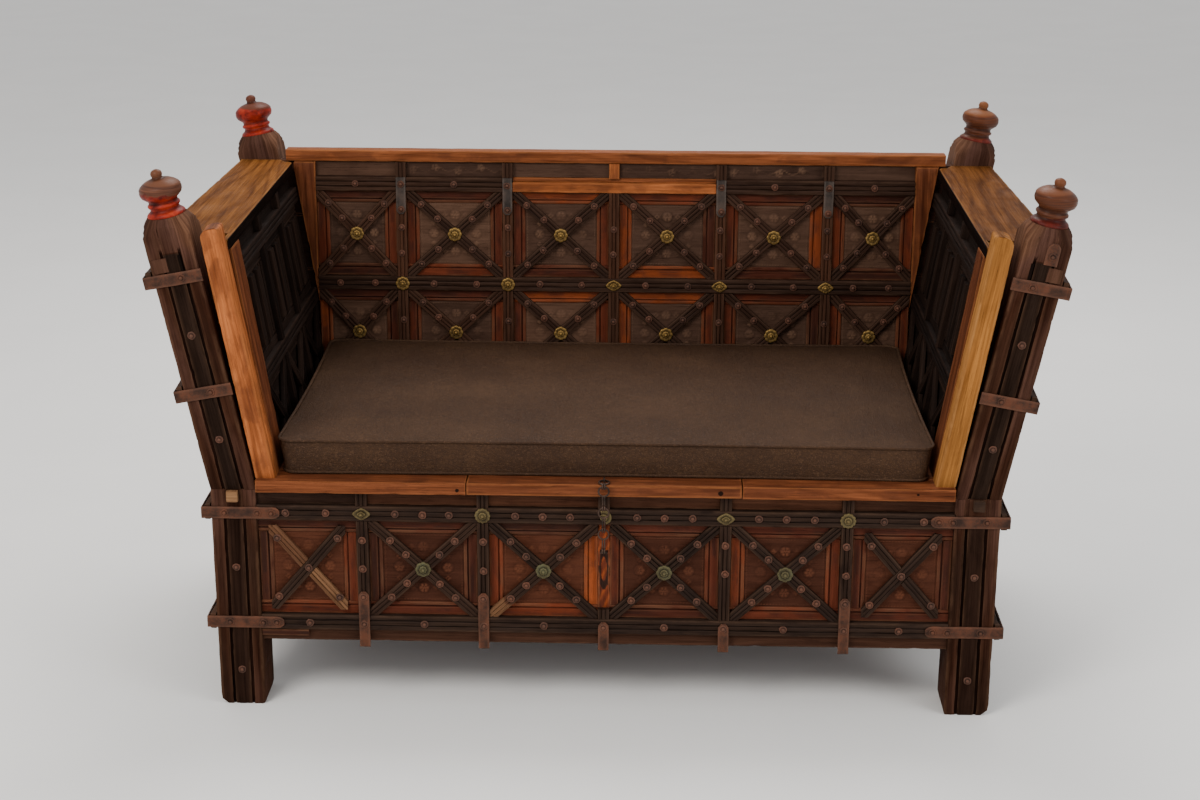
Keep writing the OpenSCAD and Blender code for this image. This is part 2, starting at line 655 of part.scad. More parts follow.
module lining_strips() color(wood_dark) both_sides() difference() {
    lining_frame() translate([-lining_front - lining_span / 2, 0, 0]) {
        for (z = [lining_rows[1], lining_rows[2]])
            ribbed(-lining_span / 2 - post_d, lining_span / 2, z, rail_w, strip_t);
        for (x = [-lining_bay / 2, lining_bay / 2]) {
            ribbed_up(x, -wall_t, lining_rows[1] - rail_w / 2, strap_w, strip_t);
            ribbed_up(x, lining_rows[1] + rail_w / 2, lining_rows[2] - rail_w / 2, strap_w, strip_t);
            ribbed_up(x, lining_rows[2] + rail_w / 2, base_d / 2 + post_d, strap_w, strip_t);
        }
        for (i = [-1:1]) {
            x0 = i * lining_bay - lining_bay / 2 + strap_w / 2;
            x1 = i * lining_bay + lining_bay / 2 - strap_w / 2;
            cross(x0, x1, lining_rows[1] + rail_w / 2, lining_rows[2] - rail_w / 2, 0);
            cross(x0, x1, lining_rows[1] - row_h + rail_w / 2, lining_rows[1] - rail_w / 2, 0);
            to_wall(batten_back, strip_t) bay_2d(x0, x1, lining_rows[2] + rail_w / 2, base_d);
            for (x = [x0, x1 - batten_w], z = [lining_rows[1], lining_rows[1] - row_h])
                to_wall(batten_back, strip_t) bay_2d(x, x + batten_w, z + rail_w / 2,
                    z + row_h - rail_w / 2);
            for (z = [lining_rows[1], lining_rows[1] - row_h]) to_wall(batten_back + panel_back, strip_t)
                bay_2d(x0 + batten_w, x1 - batten_w, z + rail_w / 2, z + row_h - rail_w / 2);
        }
    }
    lining_cut();
}
module front_trim(left, tone) color(tone) corner(left, false) {
    rise = (cap_top + trim_rise - seat_h) / cos(lining_lean) / cos(end_lean);
    width = post_in - lining_x - plank_gap;
    difference() {
        translate([lining_x, -half_d, seat_h]) rotate([0, lining_lean, 0]) rotate([end_lean, 0, 0])
            translate([0, trim_d, 0]) rotate([90, 0, 0]) linear_extrude(trim_d) union() {
                translate([0, -post_d]) square([width, post_d + rise - trim_r]);
                translate([0, rise - trim_r - eps]) square([width - trim_r, trim_r + eps]);
                translate([width - trim_r, rise - trim_r]) circle(r = trim_r);
            }
        below(seat_h);
    }
}
module arm_stiles() color(wood_orange) both_sides() difference() {
    translate([lining_x, -half_d, seat_h]) rotate([0, lining_lean, 0]) translate([0, 0, -post_d])
        linear_extrude(base_d)
        translate([0, trim_d]) square([wall_t, stile_d]);
    below(seat_h);
    above(cap_top - cap_t);
}
cap_in = lining_x + (cap_top - seat_h) * tan(lining_lean) - panel_back;
cap_out = half_w + (cap_top - cap_t - board_z) * tan(post_lean) - panel_back;
cap_back = back_depth - half_d + (cap_top - seat_h) * tan(back_lean);
module arm_cap(left) color(wood_gold) corner(left, false) difference() {
    translate([0, 0, cap_top - cap_t]) linear_extrude(cap_t) union() {
        polygon([[cap_in, -half_d], [cap_out, -half_d], [cap_out - back_inset, cap_back + post_d / 2],
            [cap_in + post_d / 2, cap_back + post_d / 2], [cap_in + cap_corner_r, cap_back], [cap_in,
                cap_back - cap_corner_r]]);
        translate([cap_in + cap_corner_r, cap_back - cap_corner_r]) circle(r = cap_corner_r);
    }
    for (back = [false, true]) right_corner(back) post_frame()
        box(-post_w - post_d / 2, post_d, -post_d / 2 - plank_gap, post_d / 2 + plank_gap, 0, base_d);
    translate([lining_x, -half_d, seat_h]) rotate([0, lining_lean, 0]) rotate([end_lean, 0, 0])
        box(-post_d, post_in - lining_x, -post_d, trim_d + plank_gap, 0, base_d);
    back_frame() box(-half_w, wall_in_top(), strip_t / 2, post_d, 0, base_d);
}
// Half the width that the back takes up between the arm caps.
function wall_in_top() = lining_x + (cap_top - seat_h) * tan(lining_lean) + cap_corner_r;

// Rear of the box and of the seat back
module rear_wall() color(wood_dark) rear_frame()
    planks(-post_in + back_inset, post_in - back_inset, strip_t, strip_t + wall_t, box_bottom, board_z,
        wall_plank_count);
// How far the rear battens stand behind the face of the back's strips.
rib_out = strip_t + wall_t + strip_t;
// Ledges on the rear, the shelf that closes the box behind the seat's back, and the battens that stand on it.
module rear_ledges() color(wood_dark) {
    rear_frame() for (z = [front_low, front_rail_z]) box(-post_in + back_inset, post_in - back_inset,
        0, strip_t,
        z - rail_w, min(z + rail_w, board_z));
    intersection() {
        box(-half_w, half_w, boards_back + plank_gap + strip_t + wall_t + seat_gap, half_d, board_z,
            seat_h);
        wall_ends();
    }
    back_frame() for (x = [-2 * bay, 0, 2 * bay])
        box(x - rail_w, x + rail_w, strip_t + wall_t, rib_out, rib_out * tan(back_lean) + seat_gap,
            back_top - plank_gap);
}

// Ironwork
module band(length, leg) {
    box(-length + band_h / 2, band_out + iron_t, -iron_t, 0, -band_h / 2, band_h / 2);
    translate([-length + band_h / 2, 0, 0]) rotate([90, 0, 0]) cylinder(h = iron_t, d = band_h);
    box(band_out, band_out + iron_t, -iron_t, leg, -band_h / 2, band_h / 2);
}
module post_bands() color(iron) for (left = [false, true], back = [false, true]) corner(left, back) {
    for (z = [front_low, front_rail_z]) translate([half_w, -half_d, z]) band(band_l, band_leg);
    post_frame() for (z = band_z) translate([0, -post_d / 2, z]) band(post_w, band_leg);
}
function front_tab_l(x) = x < 0 || x > bay ? tab_l : short_tab_l;
module iron_tabs() color(iron) {
    front_frame() for (x = strap_x) box(x - tab_w / 2, x + tab_w / 2, -iron_t, 0, box_bottom - tab_drop,
        box_bottom - tab_drop + front_tab_l(x));
    back_frame() for (x = strap_x) if (x != 0) box(x - tab_w / 2, x + tab_w / 2, -iron_t, 0,
        back_tab_z, back_tab_z + back_tab_l);
}
module brass_bosses() color(brass) {
    front_frame() {
        for (x = strap_x) if (x != 0) boss(x, front_rail_z, 0);
        for (i = [1:4]) boss((front_bays[i][0] + front_bays[i][1]) / 2, (front_row[0] + front_row[1])
            / 2, cross_back);
    }
    back_frame() {
        for (x = strap_x) boss(x, back_mid, 0);
        for (b = back_bays, r = back_rows) boss((b[0] + b[1]) / 2, (r[0] + r[1]) / 2, cross_back);
    }
}
module post_pegs() color(wood_dark) for (left = [false, true]) corner(left, false)
    box(half_w - post_w / 2 - peg / 2, half_w - post_w / 2 + peg / 2, -half_d - peg / 2, -half_d,
        board_z - peg, board_z);

// Inside the box
wall_in = half_d - strip_t - wall_t;
side_in = half_w - strip_t - wall_t;
floor_t = 18;
bearer_w = 50;
bearer_h = 45;
module chest_floor() color(wood_red) {
    w = (2 * wall_in + plank_gap) / floor_plank_count;
    for (i = [0:floor_plank_count - 1]) difference() {
        box(-side_in, side_in, -wall_in + i * w, -wall_in + (i + 1) * w - plank_gap,
            box_bottom + wall_t, box_bottom + wall_t + floor_t);
        for (left = [false, true], back = [false, true]) corner(left, back)
            box(post_in - plank_gap, half_w, -half_d, -post_back + plank_gap, 0, board_z);
        both_sides() side_frame() box(-half_d, half_d, -base_w, strip_t + wall_t, 0, board_z);
    }
}
module bearers() color(wood_red) {
    for (x = [-2 * bay, 0, 2 * bay])
        box(x - bearer_w / 2, x + bearer_w / 2, -wall_in, wall_in, box_bottom, box_bottom + wall_t);
    both_sides() {
        box(lid_w / 2 - bearer_w / 2, lid_w / 2 + bearer_w / 2, -wall_in, wall_in, board_z - bearer_h,
            board_z);
        box(lining_x, side_in - back_inset, -post_back, post_back, board_z - bearer_h, board_z);
    }
    box(-lid_w / 2 + bearer_w / 2 + seat_gap, lid_w / 2 - bearer_w / 2 - seat_gap,
        rear_front - bearer_w / 2, rear_front + bearer_w / 2, board_z - bearer_h, board_z);
}

// Seat boards and the hatch in them
nose_y = -half_d - nosing;
pivot_y = nose_y + lid_d;
lid_t = seat_board - seat_gap;
edge_r = lid_t / 2;
pivot_z = seat_h - edge_r;
rear_front = pivot_y + edge_r + lid_gap;
nose_d = 62;
boards_back = back_depth - half_d - plank_gap;
function board_half(y) = y < -post_back ? half_w - post_w / cos(post_lean)
    - plank_gap : side_in - plank_gap;
module seat_row(x0, x1, y0, y1, z0, n) {
    w = (y1 - y0 + plank_gap) / n;
    for (i = [0:n - 1]) box(x0, x1, y0 + i * w, y0 + (i + 1) * w - plank_gap, z0, seat_h);
}
module seat_boards() color(wood_orange) difference() {
    union() {
        both_sides() {
            box(lid_w / 2 + lid_gap, board_half(-half_d), nose_y, nose_y + nose_d - plank_gap, board_z,
                seat_h);
            seat_row(lid_w / 2 + lid_gap, board_half(-half_d), nose_y + nose_d, boards_back, board_z,
                back_plank_count);
        }
        box(-lid_w / 2 - lid_gap + plank_gap, lid_w / 2 + lid_gap - plank_gap, rear_front, boards_back,
            board_z, seat_h);
    }
    for (s = [-1, 1]) translate([s * (lid_w / 2 + pin_l / 2), pivot_y, pivot_z]) rotate([0, 90, 0])
        cylinder(h = pin_l + 2 * lid_gap, r = pin_r + pin_gap, center = true);
}
module seat_lid() color(wood_orange) difference() {
    union() {
        box(-lid_w / 2, lid_w / 2, nose_y, nose_y + nose_d - plank_gap, seat_h - lid_t, seat_h);
        seat_row(-lid_w / 2, lid_w / 2, nose_y + nose_d, pivot_y - 2 * edge_r, seat_h - lid_t, lid_plank_count);
        box(-lid_w / 2, lid_w / 2, pivot_y - 2 * edge_r + plank_gap, pivot_y, seat_h - lid_t, seat_h);
        translate([0, pivot_y, pivot_z]) rotate([0, 90, 0]) cylinder(h = lid_w, r = edge_r, center = true);
    }
    for (s = [-1, 1]) translate([s * lid_w / 2, pivot_y, pivot_z]) rotate([0, 90, 0])
        cylinder(h = 2 * pin_l, r = pin_r, center = true);
}
module lid_pins() color(iron) for (s = [-1, 1]) translate([s * lid_w / 2, pivot_y, pivot_z]) rotate([0,
    90, 0])
    cylinder(h = 2 * pin_l, r = pin_r, center = true);
cleat_w = 44;
cleat_x = lid_w / 2 - bearer_w / 2 - 2 * lid_gap - cleat_w / 2;
module lid_cleats() color(wood_red) for (s = [-1, 1])
    box(s * cleat_x - cleat_w / 2, s * cleat_x + cleat_w / 2, -wall_in + lid_gap * 2, pivot_y - 2 * edge_r,
        seat_h - lid_t - wall_t, seat_h - lid_t);

// Chain: a staple in the hatch, then links that hook on one another.
module rod(a, b) {
    d = b - a;
    translate(a) rotate([0, acos(d[2] / norm(d)), atan2(d[1], d[0])]) cylinder(h = norm(d), r = wire_r,
        $fn = 16);
    for (p = [a, b]) translate(p) sphere(r = wire_r, $fn = 16);
}
// A staple of width 2 * w that stands h high on the XY plane.
module staple(w, h) {
    for (s = [-1, 1]) translate([s * w, 0, 0]) cylinder(h = h, r = wire_r, $fn = 16);
    rod([-w, 0, h], [w, 0, h]);
}
shank_half = 2;
shank_r = wire_r - 0.2;
// How far behind the nosing's edge the chain is fastened.
staple_in = 20;
staple_y = nose_y + staple_in;
staple_half = 6;
chain_z = seat_h + wire_r + 1;
module chain_staple() color(iron) translate([0, staple_y, seat_h]) rotate([0, 0, 90])
    staple(staple_half, chain_z - seat_h + 2 * wire_r + 0.5);
module wire_ring(r) rotate_extrude($fn = 32) translate([r, 0]) circle(r = wire_r, $fn = 16);
// A link hangs along -Z from the middle of its eye's upper wire. Two hooks at its lower end hold the next eye.
module link(length) {
    translate([0, 0, -eye_r]) rotate([90, 0, 0]) wire_ring(eye_r);
    for (s = [-1, 1]) {
        translate([s * shank_half, 0, -length + hook_r])
            cylinder(h = length - hook_r - eye_r - sqrt(eye_r * eye_r - shank_half * shank_half),
                r = shank_r, $fn = 16);
        translate([s * shank_half, 0, -length]) rotate([0, 90, 0]) wire_ring(hook_r);
    }
}
chain_lean = 88;
first_l = 31;
chain_y = staple_y - first_l * sin(chain_lean);
chain_top = chain_z - first_l * cos(chain_lean);
module chain_link_1() color(iron) translate([0, staple_y, chain_z]) rotate([-chain_lean, 0, 0])
    link(first_l);
module hanging_link(i) color(iron) translate([0, chain_y, chain_top - i * link_l]) link(link_l);
module chain_link_2() hanging_link(0);
module chain_link_3() hanging_link(1);
module chain_link_4() hanging_link(2);
lock_z = chain_top - 3 * link_l - 3 * hook_r;
module lock_staple() color(iron) translate([0, batten_back - half_d, lock_z]) rotate([90, 0, 0])
    staple(staple_half, batten_back + wire_r);

// Cushion: rings of points from its underside, round the boxing, to its crown. Each ring is a rounded rectangle
// with its sides drawn in between the corners.
cushion_z = seat_h + seat_gap;
cushion_y = back_depth - half_d - cushion_d / 2 - cushion_back_gap;
corner_steps = 5;
long_steps = 14;
short_steps = 8;
function quarter(cx, cy, start) = [for (i = [0:corner_steps])
    [cx + cushion_corner * cos(start + i * 90 / corner_steps),
        cy + cushion_corner * sin(start + i * 90 / corner_steps)]];
function along(a, b, steps) = [for (i = [1:steps - 1]) a + (b - a) * i / steps];
function outline(hx, hy) = let (ix = hx - cushion_corner, iy = hy - cushion_corner) concat(
    along([hx, -iy], [hx, iy], short_steps), quarter(ix, iy, 0),
    along([ix, hy], [-ix, hy], long_steps), quarter(-ix, iy, 90),
    along([-hx, iy], [-hx, -iy], short_steps), quarter(-ix, -iy, 180),
    along([-ix, -hy], [ix, -hy], long_steps), quarter(ix, -iy, 270));
// Draws a point of a ring in towards the middle, most of all half way along each side.
function drawn(p, hx, hy, pull) = [p[0] * (1 - pull * draw_in / hx * (1 - pow(p[1] / hy, 2))),
    p[1] * (1 - pull * draw_in / hy * (1 - pow(p[0] / hx, 2)))];
side_top = 2 * piping_r + cushion_side;
crown_z = side_top + piping_r + crown;
// The crown rises steeply at the welt and flattens towards the middle.
crown_run = 260;
crown_fall = 5;
crown_steps = [0.06, 0.18, 0.38, 0.69, 1];
function crown_ring(k) = [crown_run * k, side_top + piping_r + crown * (1 - pow(1 - k, crown_fall)),
    max(0, 0.95 - 2 * k)];
// Each ring: how far in from the piping, how high, and how much of the drawing in it takes.
rings = [[60, 0, 0.5], [piping_r, 0, 1], [0, piping_r, 1], [piping_r, 2 * piping_r, 1],
    [1, piping_r + side_top / 2, 1], [piping_r, side_top, 1], [0, side_top + piping_r / 2, 1],
    [piping_r, side_top + piping_r, 1], for (k = crown_steps) crown_ring(k)];
module seat_cushion() color(hide) {
    m = len(rings);
    n = len(outline(cushion_w / 2, cushion_d / 2));
    points = concat([for (r = rings) let (hx = cushion_w / 2 - r[0], hy = cushion_d / 2 - r[0])
        for (p = outline(hx, hy)) let (q = drawn(p, hx, hy, r[2])) [q[0], q[1], r[1]]], [[0, 0, 0], [0,
            0, crown_z]]);
    faces = concat(
        [for (i = [0:m - 2], j = [0:n - 1]) [i * n + j, (i + 1) * n + j, (i + 1) * n + (j + 1) % n]],
        [for (i = [0:m - 2], j = [0:n - 1]) [i * n + j, (i + 1) * n + (j + 1) % n, i * n + (j + 1) % n]],
        [for (j = [0:n - 1]) [m * n, j, (j + 1) % n]],
        [for (j = [0:n - 1]) [m * n + 1, (m - 1) * n + (j + 1) % n, (m - 1) * n + j]]);
    translate([0, cushion_y, cushion_z]) polyhedron(points, faces);
}

lower_post(true, false);  // lower_post_front_left
lower_post(false, false);  // lower_post_front_right
lower_post(true, true);  // lower_post_back_left
lower_post(false, true);  // lower_post_back_right
upper_post(true, false);  // upper_post_front_left
upper_post(false, false);  // upper_post_front_right
upper_post(true, true);  // upper_post_back_left
upper_post(false, true);  // upper_post_back_right
finial(true, false);  // finial_front_left
finial(false, false);  // finial_front_right
finial(true, true);  // finial_back_left
finial(false, true);  // finial_back_right
front_wall();
front_panels();
front_battens();
front_strips();
front_crosses();
front_rivets();
back_wall();
back_panels();
back_battens();
back_strips();
back_crosses();
back_rivets();
side_walls();
side_panels();
side_strips();
side_crosses();
side_rivets();
side_rails();
rear_wall();
rear_ledges();
arm_walls();
arm_linings();
lining_strips();
arm_cap(true);  // arm_cap_left
arm_cap(false);  // arm_cap_right
front_trim(true, wood_orange);  // front_trim_left
front_trim(false, wood_gold);  // front_trim_right
arm_stiles();
corner_boards();
back_cap_rail();
repair_strips();
post_bands();
iron_tabs();
brass_bosses();
post_pegs();
chest_floor();
bearers();
seat_boards();
seat_lid();
lid_cleats();
lid_pins();
chain_staple();
lock_staple();
chain_link_1();
chain_link_2();
chain_link_3();
chain_link_4();
seat_cushion();
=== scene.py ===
import math
import random

import bmesh
import bpy
from mathutils import Matrix, Vector, noise
from mathutils.kdtree import KDTree


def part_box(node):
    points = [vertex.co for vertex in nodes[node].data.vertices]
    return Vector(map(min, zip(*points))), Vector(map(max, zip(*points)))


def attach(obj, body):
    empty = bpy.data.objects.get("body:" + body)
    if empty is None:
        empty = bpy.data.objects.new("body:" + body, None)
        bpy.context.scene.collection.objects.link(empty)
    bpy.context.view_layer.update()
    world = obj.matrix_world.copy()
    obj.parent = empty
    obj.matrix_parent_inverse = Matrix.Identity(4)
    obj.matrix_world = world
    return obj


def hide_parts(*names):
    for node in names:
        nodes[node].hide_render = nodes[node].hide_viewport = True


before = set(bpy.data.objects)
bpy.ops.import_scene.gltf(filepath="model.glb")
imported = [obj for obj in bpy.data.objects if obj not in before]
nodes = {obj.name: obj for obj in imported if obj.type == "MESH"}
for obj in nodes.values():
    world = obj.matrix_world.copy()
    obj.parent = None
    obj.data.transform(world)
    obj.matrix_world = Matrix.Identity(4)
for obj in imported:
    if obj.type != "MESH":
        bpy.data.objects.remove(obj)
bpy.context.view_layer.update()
scene = bpy.context.scene

# Without a seed of its own the noise differs a little from run to run
NOISE_SEED = 1
noise.seed_set(NOISE_SEED)

# Sizes of the part in millimetres, as in its source. The centre board's foot, the posts' turned tops and the
# trims' height above the caps follow the photograph a few millimetres more closely.
BASE_W, BASE_D, SEAT_H, SEAT_BOARD, BOX_BOTTOM = 1460, 800, 460, 23, 132
BACK_INSET, POST_W, POST_D = 22, 85, 90
POST_LEAN, END_LEAN, BACK_LEAN, LINING_LEAN = 10.5, 3.3, 1.5, 9
UPPER_POST_L, BLOCK_H, GROOVE_W, GROOVE_D = 512, 54, 5, 4
FOOT_CHAMFER = 14
STRIP_T, WALL_T, BAY, ROW_H, BACK_ROW_H = 22, 20, 225, 220, 214
RAIL_W, STRAP_W, CROSS_W, BATTEN_W, BATTEN_BACK, PANEL_BACK, CROSS_BACK = 30, 22, 21, 26, 10, 3, 3
BOARD_FOOT, RIB_D, PLANK_GAP, BACK_HALF, FRONT_RAIL_Z, BACK_RAIL_Z = 20, 3, 1, 630, 392, 402
LINING_X, BACK_DEPTH, CAP_TOP, CAP_T, TRIM_D, STILE_D = 607, 702, 908, 22, 38, 72
IRON_T, BAND_H, BAND_L, BAND_LEG, SIDE_RAIL_T = 3, 23, 128, 110, 11
TAB_W, TAB_L, SHORT_TAB_L, BACK_TAB_L, TAB_DROP = 20, 112, 57, 78, 7
RIVET_R, BOSS_R = 7.5, 15
HEAD_RISE, HEAD_R, HEAD_SLOPE, TRIM_ABOVE = 6, 36, 0.8, 31

HALF_W, HALF_D = BASE_W / 2, BASE_D / 2
BOARD_Z = SEAT_H - SEAT_BOARD
POST_IN, POST_BACK = HALF_W - POST_W, HALF_D - POST_D
TOE = math.degrees(math.atan2(BACK_INSET, BASE_D - POST_D))
FRONT_LOW = FRONT_RAIL_Z - ROW_H
FRONT_ROW = (FRONT_LOW + RAIL_W / 2, FRONT_RAIL_Z - RAIL_W / 2)
BACK_MID = BACK_RAIL_Z - BACK_ROW_H
BACK_ROWS = ((BACK_MID - BACK_ROW_H + RAIL_W / 2, BACK_MID - RAIL_W / 2),
             (BACK_MID + RAIL_W / 2, BACK_RAIL_Z - RAIL_W / 2))
BACK_TOP = (CAP_TOP - SEAT_H) / math.cos(math.radians(BACK_LEAN))
BACK_TAB_Z = BACK_RAIL_Z + RAIL_W / 2 - BACK_TAB_L
BAND_BELOW_TOP = 102
BAND_Z = (UPPER_POST_L - BAND_BELOW_TOP - ROW_H, UPPER_POST_L - BAND_BELOW_TOP)
STRAP_X = [i * BAY for i in range(-2, 3)]
HEAD_REACH = POST_D / 2 + UPPER_POST_L * math.tan(math.radians(END_LEAN))
BAND_OUT = SIDE_RAIL_T + HEAD_REACH * math.tan(math.radians(TOE)) + IRON_T / 2
GRAIN_SPREAD = 900
MM = 0.001


def bay_edges(half):
    inner = [(STRAP_X[i] + STRAP_W / 2, STRAP_X[i + 1] - STRAP_W / 2) for i in range(4)]
    return [(-half, STRAP_X[0] - STRAP_W / 2), *inner, (STRAP_X[4] + STRAP_W / 2, half)]


FRONT_BAYS, BACK_BAYS = bay_edges(POST_IN), bay_edges(BACK_HALF)
SIDE_BAY = 2 * POST_BACK / 3
SIDE_STRAPS = (-SIDE_BAY / 2, SIDE_BAY / 2)
SIDE_BAYS = ((-POST_BACK, SIDE_STRAPS[0] - STRAP_W / 2),
             (SIDE_STRAPS[0] + STRAP_W / 2, SIDE_STRAPS[1] - STRAP_W / 2),
             (SIDE_STRAPS[1] + STRAP_W / 2, POST_BACK))


# Frames that the walls are drawn in: X along the wall, Y into it, Z up it
def shift(x, y, z):
    return Matrix.Translation((x, y, z))


def turn(axis, degrees):
    return Matrix.Rotation(math.radians(degrees), 4, axis)


MIRROR_X = Matrix.Diagonal((-1, 1, 1, 1))
MIRROR_Y = Matrix.Diagonal((1, -1, 1, 1))
FRONT = shift(0, -HALF_D, 0)
BACK = shift(0, BACK_DEPTH - HALF_D, SEAT_H) @ turn("X", -BACK_LEAN)
SIDE = shift(HALF_W - BACK_INSET / 2, 0, 0) @ turn("Z", 90 + TOE)
LINING = shift(LINING_X, 0, SEAT_H) @ turn("Y", LINING_LEAN) @ turn("Z", -90)
OUTER = shift(HALF_W - BACK_INSET / 2, 0, BOARD_Z) @ turn("Z", TOE) @ turn("Y", POST_LEAN) @ turn("Z", 90)
POST = shift(HALF_W, -HALF_D + POST_D / 2, BOARD_Z) @ turn("Y", POST_LEAN) @ turn("X", END_LEAN)
BOTH = (Matrix.Identity(4), MIRROR_X)
OUTWARD = Vector((0, -1, 0))


def corner(left, back):
    place = MIRROR_X if left else Matrix.Identity(4)
    return place @ shift(-BACK_INSET, 0, 0) @ MIRROR_Y if back else place


CORNERS = {(left, back): corner(left, back) for left in (True, False) for back in (False, True)}


# Materials
class Net:
    """A small builder for one material's nodes."""

    def __init__(self, name):
        self.material = bpy.data.materials.new(name)
        self.material.use_nodes = True
        self.tree = self.material.node_tree
        self.shader = self.tree.nodes["Principled BSDF"]

    def node(self, kind, **values):
        made = self.tree.nodes.new(kind)
        for key, value in values.items():
            setattr(made, key, value)
        return made

    def feed(self, socket, value):
        if isinstance(value, bpy.types.NodeSocket):
            self.tree.links.new(value, socket)
        elif isinstance(value, (tuple, list)) and len(value) == 3 and socket.type == "RGBA":
            socket.default_value = (*value, 1)
        else:
            socket.default_value = value

    def math(self, operation, a, b=0.0, clamp=False):
        made = self.node("ShaderNodeMath", operation=operation, use_clamp=clamp)
        self.feed(made.inputs[0], a)
        self.feed(made.inputs[1], b)
        return made.outputs[0]

    def range(self, value, low, high, to_low=0.0, to_high=1.0):
        made = self.node("ShaderNodeMapRange")
        for i, v in enumerate((value, low, high, to_low, to_high)):
            self.feed(made.inputs[i], v)
        return made.outputs[0]

    def mix(self, factor, a, b, blend="MIX"):
        made = self.node("ShaderNodeMix", data_type="RGBA", blend_type=blend)
        self.feed(made.inputs["Factor"], factor)
        for name, value in (("A", a), ("B", b)):
            self.feed([s for s in made.inputs if s.name == name and s.type == "RGBA"][0], value)
        return [s for s in made.outputs if s.type == "RGBA"][0]

    def tint(self, colour, mask, low, high, amount, other, blend="MIX"):
        """Lays another colour over as the mask goes from low to high, up to the amount."""
        return self.mix(self.range(mask, low, high, 0, amount), colour, other, blend)

    def shade(self, colour, mask, low, high, amount, other):
        """The same, but multiplies the two colours."""
        return self.tint(colour, mask, low, high, amount, other, "MULTIPLY")

    def ramp(self, factor, *stops):
        made = self.node("ShaderNodeValToRGB")
        self.feed(made.inputs[0], factor)
        elements = made.color_ramp.elements
        while len(elements) < len(stops):
            elements.new(0.5)
        for element, (place, colour) in zip(elements, stops):
            element.position = place
            element.color = (*colour, 1)
        return made.outputs[0]

    def stretch(self, vector, scale, turned=(0, 0, 0)):
        made = self.node("ShaderNodeMapping")
        self.feed(made.inputs["Vector"], vector)
        made.inputs["Scale"].default_value = scale
        made.inputs["Rotation"].default_value = turned
        return made.outputs[0]

    def noise(self, vector, scale=1.0, detail=3.0, roughness=0.5, warp=0.0):
        made = self.node("ShaderNodeTexNoise")
        self.feed(made.inputs["Vector"], vector)
        made.inputs["Scale"].default_value = scale
        made.inputs["Detail"].default_value = detail
        made.inputs["Roughness"].default_value = roughness
        made.inputs["Distortion"].default_value = warp
        return made.outputs["Fac"]

    def cells(self, vector, scale, feature="F1"):
        made = self.node("ShaderNodeTexVoronoi", feature=feature)
        self.feed(made.inputs["Vector"], vector)
        made.inputs["Scale"].default_value = scale
        return made.outputs["Distance"]

    def read(self, name):
        return self.node("ShaderNodeAttribute", attribute_name=name).outputs["Fac"]

    def uv(self, name="grain"):
        return self.node("ShaderNodeUVMap", uv_map=name).outputs["UV"]

    def place(self):
        return self.node("ShaderNodeTexCoord").outputs["Object"]

    def bump(self, height, strength, distance, under=None):
        made = self.node("ShaderNodeBump")
        self.feed(made.inputs["Height"], height)
        made.inputs["Strength"].default_value = strength
        made.inputs["Distance"].default_value = distance
        if under is not None:
            self.feed(made.inputs["Normal"], under)
        return made.outputs["Normal"]

    def finish(self, colour, roughness, normal, **constants):
        self.feed(self.shader.inputs["Base Color"], colour)
        self.feed(self.shader.inputs["Roughness"], roughness)
        self.feed(self.shader.inputs["Normal"], normal)
        for key, value in constants.items():
            self.shader.inputs[key.replace("_", " ")].default_value = value
        return self.material


def rgb(r, g, b):
    """A colour as it is seen, 0 to 255, as linear light."""
    return tuple((v / 255 / 12.92) if v <= 10 else ((v / 255 + 0.055) / 1.055) ** 2.4 for v in (r, g, b))


